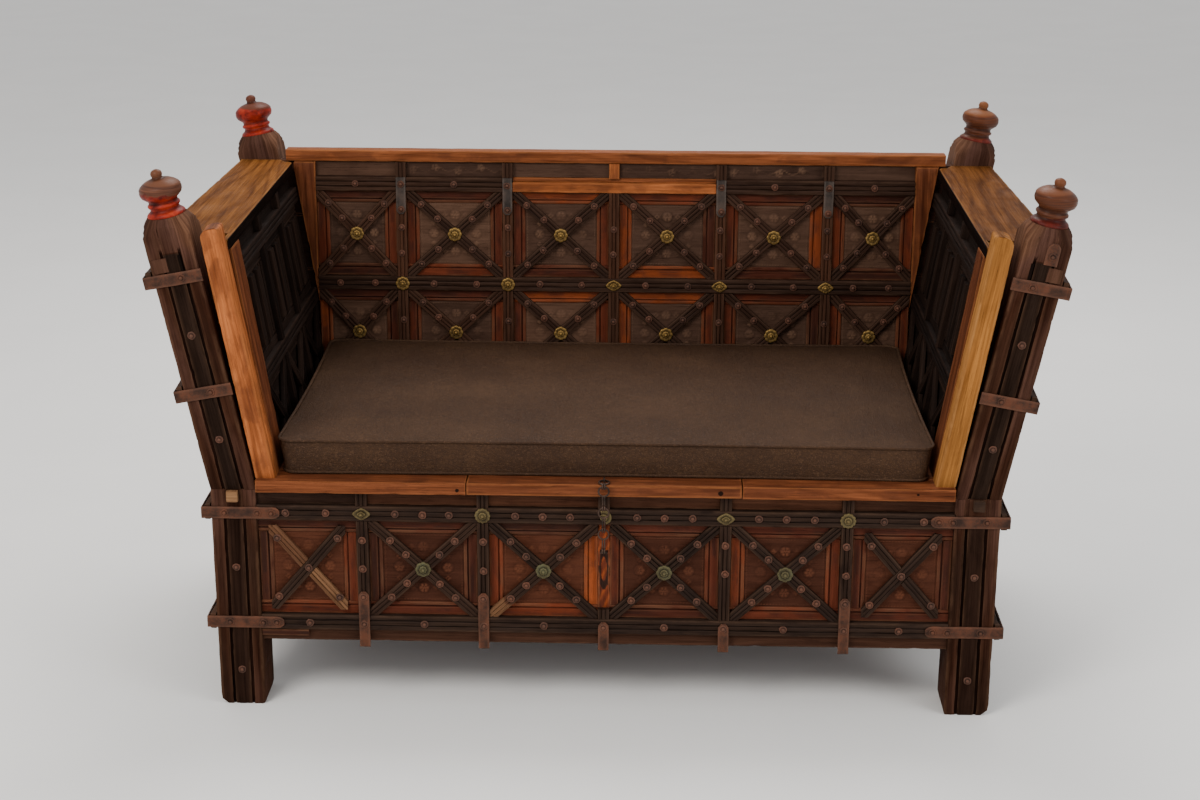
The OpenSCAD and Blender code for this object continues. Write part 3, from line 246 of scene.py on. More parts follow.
def wood(name, stops, pale=(150, 122, 98), dust=0.35, grain=0.5, gloss=0.62, paint=None, knots=0.0,
         figure=0.0, spots=0.55, shine=0.05):
    """Old wood. stops are its colours over the tone attribute, pale is where it is rubbed, figure its
    growth rings and paint the colour and the share of what is left of a finish."""
    net = Net(name)
    along, wear, own = net.uv(), net.read("wear"), net.read("tone")
    slow = net.noise(net.stretch(along, (2.2, 9, 9)), 1, 2, 0.5, 0.6)
    base = net.ramp(own, *[(place, rgb(*colour)) for place, colour in stops])
    bands = net.noise(net.stretch(along, (3.2, 62, 62)), 1, 2, 0.6, 0.9)
    fibres = net.noise(net.stretch(along, (9, 420, 420)), 1, 4, 0.65)
    pores = net.noise(net.stretch(along, (22, 900, 900)), 1, 2, 0.5)
    blotch = net.noise(net.stretch(along, (14, 20, 20)), 1, 4, 0.6, 0.4)
    colour = net.shade(base, bands, 0.35, 0.68, grain, (0.30, 0.24, 0.21))
    colour = net.shade(colour, fibres, 0.42, 0.72, grain * 0.9, (0.42, 0.36, 0.33))
    colour = net.shade(colour, blotch, 0.5, 0.78, spots, (0.38, 0.33, 0.31))
    colour = net.shade(colour, slow, 0.55, 0.8, 0.35, (1.5, 1.35, 1.2))
    if paint is not None:
        patch = net.math("MULTIPLY", net.range(blotch, 0.44, 0.56), net.range(fibres, 0.62, 0.45))
        colour = net.mix(net.math("MULTIPLY", patch, paint[1]), colour, rgb(*paint[0]))
    if figure:
        apart = net.node("ShaderNodeSeparateXYZ")
        net.feed(apart.inputs[0], along)
        bend = net.noise(net.stretch(along, (1.7, 5, 5)), 1, 1, 0.3, 0.2)
        rings = net.math("ADD", net.math("MULTIPLY", apart.outputs[1], 190.0),
                         net.math("MULTIPLY", bend, 58.0))
        colour = net.shade(colour, net.math("SINE", rings), 0.1, 1.0, figure, (0.42, 0.33, 0.26))
    if knots:
        knot = net.cells(net.stretch(along, (5, 14, 14)), 1)
        colour = net.shade(colour, knot, 0.16, 0.05, knots, (0.12, 0.07, 0.05))
    rubbed = net.math("MULTIPLY", net.range(wear, 0.1, 0.9), net.range(blotch, 0.34, 0.62), clamp=True)
    colour = net.mix(net.math("MULTIPLY", rubbed, dust), colour, rgb(*pale))
    # Painted shade with grime: grooves and faces marked dark are darkened, down to about a third, where the
    # attribute falls below zero.
    colour = net.shade(colour, wear, -0.1, -0.8, 0.8, (0.2, 0.17, 0.16))
    cracks = net.range(pores, 0.36, 0.3, 0, 1)
    colour = net.mix(net.math("MULTIPLY", cracks, 0.6), colour, (0.12, 0.1, 0.09), "MULTIPLY")
    height = net.math("ADD", net.math("MULTIPLY", fibres, 0.6), net.math("MULTIPLY", bands, 0.7))
    height = net.math("SUBTRACT", height, net.math("MULTIPLY", cracks, 0.5))
    fine = net.bump(height, 0.55, 0.0012)
    normal = net.bump(blotch, 0.3, 0.003, fine)
    rough = net.range(net.math("ADD", fibres, blotch), 0.7, 1.3, gloss - 0.1, gloss + 0.16)
    return net.finish(colour, rough, normal, Specular_IOR_Level=shine)


def metal(name, dark, light, rust, shine, rough, patina=0.5):
    """Old iron or brass in dark and light patches, with a crust over part of it."""
    net = Net(name)
    here = net.place()
    broad = net.noise(net.stretch(here, (38, 38, 38)), 1, 4, 0.6)
    fine = net.noise(net.stretch(here, (420, 420, 420)), 1, 4, 0.65)
    pits = net.cells(here, 260)
    colour = net.mix(net.range(broad, 0.35, 0.65), rgb(*dark), rgb(*light))
    crust = net.math("MULTIPLY", net.range(net.math("ADD", broad, fine), 0.95, 1.15), patina, clamp=True)
    colour = net.mix(crust, colour, rgb(*rust))
    # Painted shade with grime in grooves and at the foot of heads, where the attribute falls below zero.
    colour = net.shade(colour, net.read("wear"), -0.1, -0.9, 0.75, (0.22, 0.2, 0.18))
    colour = net.tint(colour, net.read("wear"), 0.2, 1, 0.4, rgb(*[c * 1.3 for c in light]))
    height = net.math("ADD", fine, net.math("MULTIPLY", net.range(pits, 0.0, 0.5), 0.6))
    normal = net.bump(broad, 0.25, 0.003, net.bump(height, 0.4, 0.0006))
    return net.finish(colour, net.range(fine, 0.3, 0.7, rough - 0.1, rough + 0.15), normal, Metallic=shine,
                      Specular_IOR_Level=0.15)


def leather():
    """Brown hide with fine and wide creases, dark mottling and soft folds."""
    net = Net("hide_brown")
    here = net.place()
    broad = net.noise(here, 6, 5, 0.6)
    middle = net.noise(here, 45, 4, 0.65)
    mottle = net.noise(net.stretch(here, (1, 2.2, 1)), 150, 3, 0.7)
    creases = net.cells(here, 330, "DISTANCE_TO_EDGE")
    wide = net.cells(net.stretch(here, (1, 1.6, 1)), 110, "DISTANCE_TO_EDGE")
    colour = net.ramp(broad, (0.3, rgb(55, 37, 25)), (0.5, rgb(64, 44, 29)), (0.72, rgb(75, 53, 36)))
    colour = net.tint(colour, middle, 0.4, 0.7, 0.4, rgb(56, 41, 32))
    colour = net.tint(colour, mottle, 0.45, 0.7, 0.45, rgb(50, 36, 29))
    colour = net.tint(colour, mottle, 0.45, 0.3, 0.25, rgb(104, 78, 58))
    speck = net.noise(here, 380, 3, 0.7)
    colour = net.tint(colour, speck, 0.55, 0.72, 0.4, rgb(128, 98, 76))
    colour = net.tint(colour, creases, 0.1, 0.0, 0.6, rgb(36, 26, 22))
    colour = net.tint(colour, wide, 0.06, 0.0, 0.5, rgb(44, 32, 26))
    fine = net.range(creases, 0, 0.22)
    grained = net.math("ADD", fine, net.math("MULTIPLY", net.range(wide, 0, 0.12), 0.8))
    grained = net.math("ADD", grained, net.math("MULTIPLY", mottle, 1.2))
    folds = net.noise(net.stretch(here, (26, 5, 14), (0.3, 0.5, 0.2)), 1, 2, 0.5, 0.8)
    normal = net.bump(folds, 0.35, 0.006, net.bump(middle, 0.2, 0.003, net.bump(grained, 0.6, 0.0009)))
    rough = net.range(net.math("ADD", broad, middle), 0.75, 1.25, 0.46, 0.64)
    return net.finish(colour, rough, normal, Specular_IOR_Level=0.07)


TIP_LOW, TIP_HIGH = 1.008, 1.011


def lacquer(name, low, high, worn, share, tip, reds=((74, 20, 16), (132, 34, 20), (160, 58, 32))):
    """Turned wood with what is left of red lacquer. low and high are heights in metres between which it
    wears to bare wood, and the ball above the bun has a colour of its own."""
    net = Net(name)
    here = net.place()
    height = net.node("ShaderNodeSeparateXYZ")
    net.feed(height.inputs[0], here)
    up = net.range(height.outputs[2], low, high)
    blotch = net.noise(here, 45, 5, 0.62, 0.3)
    rings = net.noise(net.stretch(here, (12, 12, 420)), 1, 3, 0.6)
    red = net.ramp(blotch, *[(0.35 + 0.2 * i, rgb(*tone)) for i, tone in enumerate(reds)])
    bare = net.ramp(rings, (0.35, rgb(64, 38, 28)), (0.6, rgb(*worn)), (0.8, rgb(*[c * 1.3 for c in worn])))
    raised = net.math("ADD", net.math("MULTIPLY", up, share), net.math("SUBTRACT", blotch, 0.5))
    mask = net.range(raised, 0.28, 0.42)
    ball = net.range(height.outputs[2], TIP_LOW, TIP_HIGH)
    colour = net.mix(ball, net.mix(mask, red, bare), rgb(*tip))
    # Painted shade with grime in the turned hollows, where the attribute falls below zero.
    colour = net.shade(colour, net.read("wear"), -0.1, -0.9, 0.8, (0.25, 0.2, 0.18))
    normal = net.bump(blotch, 0.2, 0.002, net.bump(rings, 0.3, 0.0008))
    return net.finish(colour, net.range(blotch, 0.3, 0.7, 0.3, 0.5), normal, Specular_IOR_Level=0.09)


# Colours of the woods over the tone attribute, from dark to light
DARKS = [(0.0, (22, 15, 12)), (0.35, (43, 31, 25)), (0.6, (60, 40, 30)), (0.8, (84, 52, 36)),
         (1.0, (140, 104, 72))]
POSTS = [(0.0, (24, 16, 13)), (0.35, (39, 28, 22)), (0.6, (58, 34, 23)), (0.8, (88, 61, 51)),
         (1.0, (124, 88, 60))]
REDS = [(0.0, (38, 26, 21)), (0.25, (56, 34, 26)), (0.5, (80, 40, 28)), (0.72, (106, 49, 29)),
        (1.0, (152, 74, 36))]
PANELS = [(0.0, (50, 28, 20)), (0.5, (68, 38, 26)), (1.0, (86, 48, 32))]
DUSTY = [(0.0, (58, 41, 33)), (0.5, (84, 61, 48)), (1.0, (100, 73, 57))]
ORANGES = [(0.0, (84, 46, 29)), (0.35, (120, 68, 41)), (0.7, (154, 88, 49)), (1.0, (188, 110, 60))]
# The darkest gold stop is painted shade, for the caps' sides towards the seat.
GOLDS = [(0.0, (34, 25, 21)), (0.07, (96, 58, 26)), (0.4, (136, 86, 40)), (0.7, (160, 108, 54)),
         (1.0, (180, 132, 74))]

wood_dark = wood("old_wood_dark", DARKS, pale=(104, 78, 60), dust=0.26, grain=0.65)
wood_post = wood("old_wood_dark_post", POSTS, pale=(108, 78, 58), dust=0.3, grain=0.8, shine=0.02)
# Dark wood with painted shade, for the arms' linings under the caps and for the nail holes: a darker rub,
# less dust and a duller face than the plain dark wood.
wood_shaded = wood("old_wood_dark_soot", DARKS, pale=(74, 50, 38), dust=0.2, grain=0.6, gloss=0.78, shine=0.04)
wood_red = wood("old_wood_red", REDS, pale=(146, 98, 68), dust=0.35, grain=0.55, paint=((36, 26, 23), 0.5))
wood_panel = wood("old_wood_panel", PANELS, pale=(120, 72, 50), dust=0.4, grain=0.4)
wood_dusty = wood("wood_panel_dusty", DUSTY, pale=(128, 96, 74), dust=0.45, grain=0.4)
wood_orange = wood("old_wood_orange", ORANGES, pale=(188, 118, 64), dust=0.25, grain=0.85, gloss=0.5,
                   knots=0.6, figure=0.3, paint=((74, 40, 27), 0.5), spots=0.45)
wood_gold = wood("old_wood_gold", GOLDS, pale=(196, 142, 88), dust=0.3, grain=0.7, gloss=0.5, knots=0.4,
                 figure=0.22, spots=0.3, shine=0.02)
wood_figured = wood("old_wood_gold_figured", GOLDS, pale=(190, 140, 80), dust=0.2, grain=0.7, gloss=0.5,
                    knots=0.25, figure=0.5, spots=0.2, shine=0.02)
iron = metal("iron_rusty", (48, 33, 27), (82, 55, 42), (98, 54, 36), 0.4, 0.62)
chain_iron = metal("iron_chain", (38, 31, 27), (74, 60, 52), (78, 50, 38), 0.6, 0.42, 0.35)
iron_grey = metal("iron_grey", (48, 42, 39), (80, 71, 65), (76, 54, 43), 0.5, 0.52, 0.4)
studs = metal("iron_studs", (54, 37, 30), (88, 60, 47), (88, 47, 32), 0.2, 0.62, 0.45)
brass = metal("brass_old", (76, 58, 30), (134, 104, 54), (82, 74, 50), 0.45, 0.46, 0.4)
brass_dull = metal("brass_dull", (56, 47, 29), (98, 83, 52), (72, 68, 47), 0.4, 0.52, 0.6)
brass_green = metal("brass_green", (54, 48, 32), (86, 78, 52), (66, 71, 53), 0.3, 0.6, 0.7)
hide = leather()


# Shapes
def tube(rings, count, closed=False):
    """Faces between the rings of a tube, and its two ends unless it closes on itself."""
    faces = [(i * count + j, i * count + (j + 1) % count,
              (i + 1) % rings * count + (j + 1) % count, (i + 1) % rings * count + j)
             for i in range(rings if closed else rings - 1) for j in range(count)]
    ends = [tuple(range(count)), tuple(range((rings - 1) * count, rings * count))]
    return faces if closed else faces + ends


class Piece:
    """One mesh, drawn in millimetres. Its UV map gives the way the grain runs, where it has one. Its
    attribute for worn edges and painted shade is 1 on a worn edge and -1 in a groove, where the materials
    paint shade with grime."""

    def __init__(self, name, *materials):
        self.name, self.materials = name, materials
        self.co, self.faces, self.uv, self.slots, self.wear, self.tone = [], [], [], [], [], []

    def add(self, points, faces, wear, tone=0.5, slot=0, uvs=None):
        base = len(self.co)
        self.co += points
        self.wear += wear
        self.tone += tone if isinstance(tone, list) else [tone] * len(points)
        for face, pairs in zip(faces, uvs or [((0.0, 0.0),) * len(face) for face in faces]):
            self.faces.append([base + i for i in face])
            self.uv += pairs
            self.slots.append(slot)

    def make(self, *stands_for, body="frame", angle=38, cuts=(), slot=None):
        mesh = bpy.data.meshes.new(self.name)
        mesh.from_pydata([p * MM for p in self.co], [], self.faces)
        layer = mesh.uv_layers.new(name="grain")
        layer.data.foreach_set("uv", [MM * v for pair in self.uv for v in pair])
        for name, values in (("wear", self.wear), ("tone", self.tone)):
            mesh.attributes.new(name, "FLOAT", "POINT").data.foreach_set("value", values)
        for material in self.materials:
            mesh.materials.append(material)
        mesh.polygons.foreach_set("material_index", self.slots)
        work = bmesh.new()
        work.from_mesh(mesh)
        for point, normal, side in cuts:
            geom = [v for v in work.verts if v.co.x * side >= 0]
            for kind in (work.edges, work.faces):
                geom += [g for g in kind if all(v.co.x * side >= 0 for v in g.verts)]
            found = bmesh.ops.bisect_plane(work, geom=geom, dist=1e-6, plane_co=point * MM, plane_no=normal,
                                           clear_outer=True)
            rim = [e for e in found["geom_cut"] if isinstance(e, bmesh.types.BMEdge)]
            if rim:
                bmesh.ops.holes_fill(work, edges=rim, sides=0)
        bmesh.ops.recalc_face_normals(work, faces=work.faces)
        work.to_mesh(mesh)
        work.free()
        return dress(mesh, self.name, stands_for, body, angle, slot)


def dress(mesh, name, stands_for, body, angle=38, slot=None):
    """Puts a finished mesh in the scene, on its body and in place of the nodes it stands for."""
    mesh.polygons.foreach_set("use_smooth", [True] * len(mesh.polygons))
    mesh.set_sharp_from_angle(angle=math.radians(angle))
    made = bpy.data.objects.new(name, mesh)
    scene.collection.objects.link(made)
    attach(made, body)
    if stands_for:
        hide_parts(*stands_for)
    return made


def wobble(seed, s, j, size):
    """A small smooth push that changes along a piece."""
    at = Vector((s * 0.017 + seed * 3.7, j * 5.3, seed * 1.9))
    quick = Vector((s * 0.083 + seed, j * 9.1 + 40, seed * 2.3))
    return noise.noise_vector(at) * size + noise.noise_vector(quick) * size * 0.45


def loft(piece, place, start, end, profile, tone=0.5, seed=0, slot=0, step=12, rough=0.5, chip=1.2,
         shape=None, span=None):
    """A long piece of wood or iron. profile is (across, outward, wear) points, start and end are in the
    wall's frame. shape(s, length, across, outward, wear) may change a ring's point, and span(across) says
    where its own line starts and ends."""
    start, end = Vector(start), Vector(end)
    along = (end - start).normalized()
    across = OUTWARD.cross(along)
    length = (end - start).length
    rings = max(2, round(length / step) + 1)
    girth = [0.0]
    for a, b in zip(profile, profile[1:] + profile[:1]):
        girth.append(girth[-1] + math.hypot(a[0] - b[0], a[1] - b[1]))
    count = len(profile)
    mid = sum(q for _, q, _ in profile) / count
    points, wear, sides, tones = [], [], [], []
    shade = random.Random(seed * 7 + 1).random() * GRAIN_SPREAD
    for i in range(rings):
        for j, (p, q, w) in enumerate(profile):
            low, high = span(p) if span else (0.0, length)
            s = low + (high - low) * i / (rings - 1)
            a, b, w = shape(s, length, p, q, w) if shape else (p, q, w)
            push = wobble(seed + 1, s, j, rough)
            bite = noise.noise(Vector((s * 0.06 + seed * 5.1, j * 3.3, seed))) * 2 - 0.35
            bite = chip * max(w, 0) * max(0.0, bite)
            size = math.hypot(a, b - mid) or 1
            a += push.y - a / size * bite
            b += push.z - abs(push.z) - (b - mid) / size * bite if b > mid else push.z + abs(push.z)
            end_push = (1 if i == 0 else -1) * abs(push.x) if i in (0, rings - 1) else 0
            points.append(place @ (start + along * (s + end_push) + across * a + OUTWARD * b))
            wear.append(w)
            sides.append(s)
            tones.append(tone(p, q, s) if callable(tone) else tone)
    uvs = []
    for i in range(rings - 1):
        for j in range(count):
            u0, u1 = sides[i * count + j] + shade, sides[(i + 1) * count + j] + shade
            v0, v1 = girth[j] + shade, girth[j + 1] + shade
            uvs.append(((u0, v0), (u0, v1), (u1, v1), (u1, v0)))
    uvs += [tuple((q + shade, p + shade) for p, q, _ in profile)] * 2
    piece.add(points, tube(rings, count), wear, tones, slot, uvs)


def slab(width, thick, ease=1.6, out=0.0, steps=0):
    """Section of a board: its face is at out, and it is thick deep. steps are extra points across the
    face."""
    h, b, flat = width / 2, out - thick, 5
    face = [(-h + flat + (width - 2 * flat) * i / (steps + 1), out, 0.0) for i in range(1, steps + 1)]
    return [(-h, b, 0.3), (-h, out - ease, 0.7), (-h + ease * 0.3, out - ease * 0.3, 1.0),
            (-h + ease, out, 0.7), (-h + flat, out, 0.0), *face, (h - flat, out, 0.0), (h - ease, out, 0.7),
            (h - ease * 0.3, out - ease * 0.3, 1.0), (h, out - ease, 0.7), (h, b, 0.3)]


def ribs(width, thick, out=0.0):
    """Section of a strip with two worn grooves in its face."""
    g, b, floor = width / 9, out - thick, out - RIB_D * 0.6
    half = [(4.5 * g, b, 0.0), (4.5 * g, out - 2, 0.3), (4.28 * g, out - 0.6, 0.9), (3.8 * g, out, 0.7),
            (2.7 * g, out, 0.2), (1.95 * g, out - 0.4, 0.4), (1.65 * g, floor, -0.7), (1.3 * g, floor, -0.7),
            (1.0 * g, out - 0.5, 0.4), (0.35 * g, out - 0.1, 0.3)]
    return [(-p, q, w) for p, q, w in half] + [(p, q, w) for p, q, w in reversed(half)]


def moulding(width, thick, out=0.0):
    """Section of a moulded batten: a broad flat, then a groove and a bead at its inner edge."""
    h, b = width / 2, out - thick
    return [(-h, b, 0.0), (-h, out - 1.4, 0.4), (-h + 1.2, out - 0.2, 0.9), (-h * 0.7, out, 0.2),
            (-h * 0.1, out - 0.2, 0.0), (h * 0.24, out, 0.5), (h * 0.32, out - 2.2, -0.8),
            (h * 0.44, out - 2.2, -0.8), (h * 0.54, out - 0.9, 0.6), (h * 0.78, out - 0.7, 0.5),
            (h - 1, out - 1.4, 0.8), (h, out - 2.4, 0.3), (h, b, 0.0)]


def rail(piece, place, x0, x1, z, section, y=0.0, **more):
    """A piece along the wall whose face stands at depth y."""
    loft(piece, place, (x0, y, z), (x1, y, z), section, **more)


def stand(piece, place, x, z0, z1, section, y=0.0, **more):
    """The same, standing up."""
    loft(piece, place, (x, y, z0), (x, y, z1), section, **more)


CROSS_GAP, SHORTEST = 0.3, 12


def saltire(piece, place, x0, x1, z0, z1, seed, tone, limits=None, tones=None):
    """A cross of ribbed strips in a bay: one strip runs through, and two butt against it. tones may give an
    arm a tone of its own."""
    hx, hz, cx, cz = (x1 - x0) / 2, (z1 - z0) / 2, (x0 + x1) / 2, (z0 + z1) / 2
    low, high = limits or (z0, z1)
    angle = math.atan2(hz, hx)
    section = ribs(CROSS_W, BATTEN_BACK - CROSS_BACK + 0.5)

    def ends(way, p):
        dx, dz = math.cos(angle), math.sin(angle) * way
        nx, nz = -dz, dx
        reach = [(hx - CROSS_GAP - p * nx) / dx, (-hx + CROSS_GAP - p * nx) / dx]
        rise = [(high - CROSS_GAP - cz - p * nz) / dz, (low + CROSS_GAP - cz - p * nz) / dz]
        return max(min(reach), min(rise)), min(max(reach), max(rise))

    for way in (1, -1):
        dx, dz = math.cos(angle), math.sin(angle) * way
        start = Vector((cx, CROSS_BACK, cz))
        length = (hx ** 2 + hz ** 2) ** 0.5
        for side in [None] if way == 1 else [1, -1]:
            def span(p, way=way, side=side):
                a, b = ends(way, p)
                if side is None:
                    return a, b
                turned = math.sin(2 * angle)
                inner = (CROSS_W / 2 + 0.4) / turned
                tilt = p * math.cos(2 * angle) / turned
                return (inner + tilt, b) if side == 1 else (a, -inner + tilt)
            a, b = span(0)
            if b - a < SHORTEST:
                continue
            shade = (tones or {}).get((way, side), tone)
            loft(piece, place, start, start + Vector((dx, 0, dz)) * length, section, tone=shade,
                 seed=seed + way * 3 + (side or 0), span=span, step=9, rough=0.6, chip=1.6)


def disc(piece, place, x, z, y, rings, seed, segments=16, outline=None, lift=None, slot=0, ragged=0.04):
    """A round head on a wall: rings are (radius, height, wear) from the rim to the middle."""
    spin = random.Random(seed).random() * 6.28 if outline is None else 0
    points, wear = [], []
    for r, h, w in rings:
        for i in range(segments):
            a = 2 * math.pi * i / segments + spin
            uneven = 1 + ragged * noise.noise(Vector((math.cos(a) * 2, math.sin(a) * 2, seed)))
            far = r * ((outline(a) if outline else 1) * uneven)
            up = h + (lift(a, r) if lift else 0)
            points.append(place @ Vector((x + far * math.cos(a), y - up, z + far * math.sin(a))))
            wear.append(w)
    uvs = [((j, i), (j + 1, i), (j + 1, i + 1), (j, i + 1)) for i in range(len(rings) - 1)
           for j in range(segments)]
    uvs += [tuple((j, 0) for j in range(segments))] * 2
    piece.add(points, tube(len(rings), segments), wear, slot=slot, uvs=uvs)


RIVET = [(RIVET_R * r, height, wear) for r, height, wear in
         ((1, -0.4, -0.6), (1, 0.7, 0.2), (0.88, 1.5, 0.8), (0.6, 1.2, -0.5), (0.5, 1.4, -0.9),
          (0.46, 3.0, 0.2), (0.34, 4.3, 0.9), (0.12, 4.9, 0.6))]


def rivet(piece, place, x, z, y=0.0, seed=0):
    """A domed rivet with a flange, a millimetre out of line."""
    jolt = random.Random(f"{x:.0f} {z:.0f} {seed}")
    x, z = x + jolt.uniform(-1, 1), z + jolt.uniform(-1, 1)
    disc(piece, place, x, z, y, RIVET, jolt.random() * 50, ragged=0.16)


def petals(count, depth):
    return lambda a: 1 - depth + depth * abs(math.cos(count * a / 2)) ** 0.6


def eye(a):
    """A pointed oval, longer along the wall."""
    return 1 / ((abs(math.cos(a)) / 1.14) ** 1.35 + (abs(math.sin(a)) / 0.8) ** 1.35) ** (1 / 1.35)


BOSS = [(BOSS_R * r, height, wear) for r, height, wear in
        ((1.0, -0.3, -0.5), (1.0, 1.2, 0.2), (0.93, 2.2, 0.9), (0.8, 2.6, 0.2), (0.62, 2.0, -0.6),
         (0.52, 1.8, -1.0),
         (0.47, 3.6, 0.6), (0.38, 4.6, 0.9), (0.3, 4.4, -0.6), (0.25, 5.4, 0.2), (0.2, 7.2, 0.5),
         (0.1, 8.4, 1.0))]


def boss(piece, place, x, z, y=0.0, seed=0, kind="flower", slot=0):
    """A brass rosette of one of four kinds."""
    if kind == "eye":
        shape = dict(outline=eye, segments=40, lift=lambda a,
                     r: 0.5 * math.cos(10 * a) * (0.5 < r / BOSS_R < 0.95))
    elif kind == "broken":
        shape = dict(outline=lambda a: 0.5 + 0.45 * (math.cos(a - 0.4) > -0.2), segments=40)
    else:
        count = {"flower": 8, "round": 12}[kind]
        shape = dict(outline=petals(count, 0.1), segments=48,
                     lift=lambda a, r: 0.7 * abs(math.cos(count * a / 2)) * (0.5 < r / BOSS_R < 0.97))
    disc(piece, place, x, z, y, BOSS, seed, slot=slot, **shape)


def flower(x, z, size, count=6):
    """A rosette's height, inside a moat of its own."""
    r = math.hypot(x, z) / size
    if r >= 1.25:
        return 0.0
    if r > 1:
        return -0.2
    leaf = 0.05 + 0.95 * abs(math.cos(count * math.atan2(z, x) / 2)) ** 0.6
    return leaf * math.sin(math.pi * min(r * 1.05, 1)) ** 0.4 if r > 0.3 else 1.0 if r < 0.22 else 0.1


def stronger(a, b):
    return a if abs(a) > abs(b) else b


FLOWER_R, LEAF_R, LEAF_AWAY = 10.5, 6, 22


def field(x, z, hx, hz):
    """Carving of a bay's panel: a flower and a pair of leaves in each quarter, inside a beaded line."""
    height = 0.0
    for dx, dz in ((0, 1), (0, -1), (1, 0), (-1, 0)):
        fx, fz = x - dx * hx * 0.6, z - dz * hz * 0.6
        height = stronger(height, flower(fx, fz, FLOWER_R))
        for side in (-1, 1):
            lx, lz = (fx - side * LEAF_AWAY, fz) if dz else (fx, fz - side * LEAF_AWAY)
            height = stronger(height, 0.8 * flower(lx, lz, LEAF_R, 4))
    rim = min(hx - abs(x), hz - abs(z))
    if 3 < rim < 6:
        height = max(height, 0.55 + 0.35 * math.sin((x + z) * 1.1))
    return height


def scroll(x, z, hx, hz):
    """Carving of a frieze panel: a running wave."""
    wave = abs(z - hz * 0.35 * math.sin(x * 0.13))
    curl = flower((x + 400) % 48 - 24, z + hz * 0.3 * math.cos(x * 0.065), 9, 5)
    return max(0.8 * max(0.0, 1 - wave / 2.6), curl)


CARVED, PANEL_T = 2.0, 8


def relief(piece, place, x0, x1, z0, z1, y, carving, seed, tone, step=2.1):
    """A carved panel: a fine grid, raised where the carving says, on a thin board."""
    nx, nz = max(2, round((x1 - x0) / step)), max(2, round((z1 - z0) / step))
    cx, cz, hx, hz = (x0 + x1) / 2, (z0 + z1) / 2, (x1 - x0) / 2, (z1 - z0) / 2
    points, wear = [], []
    for i in range(nx + 1):
        for j in range(nz + 1):
            x, z = x0 + (x1 - x0) * i / nx, z0 + (z1 - z0) * j / nz
            rub = 0.62 + 0.5 * noise.noise(Vector((x * 0.02, z * 0.02, seed)))
            h = carving(x - cx, z - cz, hx, hz) * rub if carving else 0.0
            rough = 0.5 * noise.noise(Vector((x * 0.09, z * 0.22, seed + 9)))
            points.append(place @ Vector((x, y - CARVED * (h - 0.5) - rough, z)))
            wear.append(h * 1.5 - 0.12 if carving else 0.0)
    row = nz + 1
    rim = [i * row for i in range(nx + 1)] + [nx * row + j for j in range(1, row)]
    rim += [i * row + nz for i in range(nx - 1, -1, -1)] + list(range(nz - 1, 0, -1))
    shade = random.Random(seed * 3 + 2).random() * GRAIN_SPREAD
    flat = [(x0 + (x1 - x0) * (k // row) / nx + shade, z0 + (z1 - z0) * (k % row) / nz + shade)
            for k in range((nx + 1) * row)]
    faces = [(i * row + j, (i + 1) * row + j, (i + 1) * row + j + 1, i * row + j + 1)
             for i in range(nx) for j in range(nz)]
    uvs = [tuple(flat[k] for k in f) for f in faces]
    base = len(points)
    for k in rim:
        points.append(place @ Vector((flat[k][0] - shade, y + PANEL_T, flat[k][1] - shade)))
        wear.append(-0.5)
    for n in range(len(rim)):
        m = (n + 1) % len(rim)
        faces.append((rim[n], rim[m], base + m, base + n))
        uvs.append(tuple(flat[rim[t]] for t in (n, m, m, n)))
    faces.append(tuple(range(base, base + len(rim))))
    uvs.append(tuple(flat[k] for k in rim))
    piece.add(points, faces, wear, tone, uvs=uvs)


BAR_STEP, BAR_END = 7, (0.08, 0.3)


def iron_strap(piece, place, path, width, thick, seed, ends=(True, False), slot=0):
    """A flat bar bent along a path of (x, y) points, its outer face on the path. Rounded ends are
    narrowed."""
    half = width / 2
    section = ((-1, thick, 0), (-1, 0.5, 0.8), (-0.9, 0, 1), (-0.45, 0, 0), (0.45, 0, 0), (0.9, 0, 1),
               (1, 0.5, 0.8), (1, thick, 0))
    fine = [Vector(path[0])]
    for a, b in zip(path, path[1:]):
        a, b = Vector(a), Vector(b)
        n = max(1, round((b - a).length / BAR_STEP))
        fine += [a.lerp(b, i / n) for i in range(1, n + 1)]
    far = [0.0]
    for a, b in zip(fine, fine[1:]):
        far.append(far[-1] + (b - a).length)
    if ends[0]:
        fine[1:1], far[1:1] = [fine[0].lerp(fine[1], t) for t in BAR_END], [far[1] * t for t in BAR_END]
    points, wear = [], []
    for i, p in enumerate(fine):
        before, after = fine[max(0, i - 1)], fine[min(len(fine) - 1, i + 1)]
        way = (after - before).normalized()
        inner = Vector((-way.y, way.x))
        left = min([far[i]] * ends[0] + [far[-1] - far[i]] * ends[1] + [half])
        share = 1 - 0.62 * max(0.0, 1 - left / half) ** 2.2
        mid = 0.5 * noise.noise(Vector((far[i] * 0.03, seed, 3)))
        for z, deep, w in section:
            dent = 0.35 * abs(noise.noise(Vector((far[i] * 0.08, z * 3, seed)))) if deep < thick else 0
            at = p + inner * (deep + dent)
            uneven = 1 + 0.03 * noise.noise(Vector((far[i] * 0.05, z, seed)))
            points.append(place @ Vector((at.x, at.y, mid + z * half * share * uneven)))
            wear.append(w)
    piece.add(points, tube(len(fine), len(section)), wear, slot=slot)


def turned(piece, place, outline, seed, segments=40):
    """A turned shape: outline is (radius, height, wear), from the foot to the tip."""
    points, wear = [], []
    for r, z, w in outline:
        for j in range(segments):
            a = 2 * math.pi * j / segments
            grow = 1 + 0.012 * noise.noise(Vector((math.cos(a) * 1.5, math.sin(a) * 1.5, seed + z * 0.03)))
            points.append(place @ Vector((r * grow * math.cos(a), r * grow * math.sin(a), z)))
            wear.append(w)
    piece.add(points, tube(len(outline), segments), wear)


BROAD, INSET = 10, 3


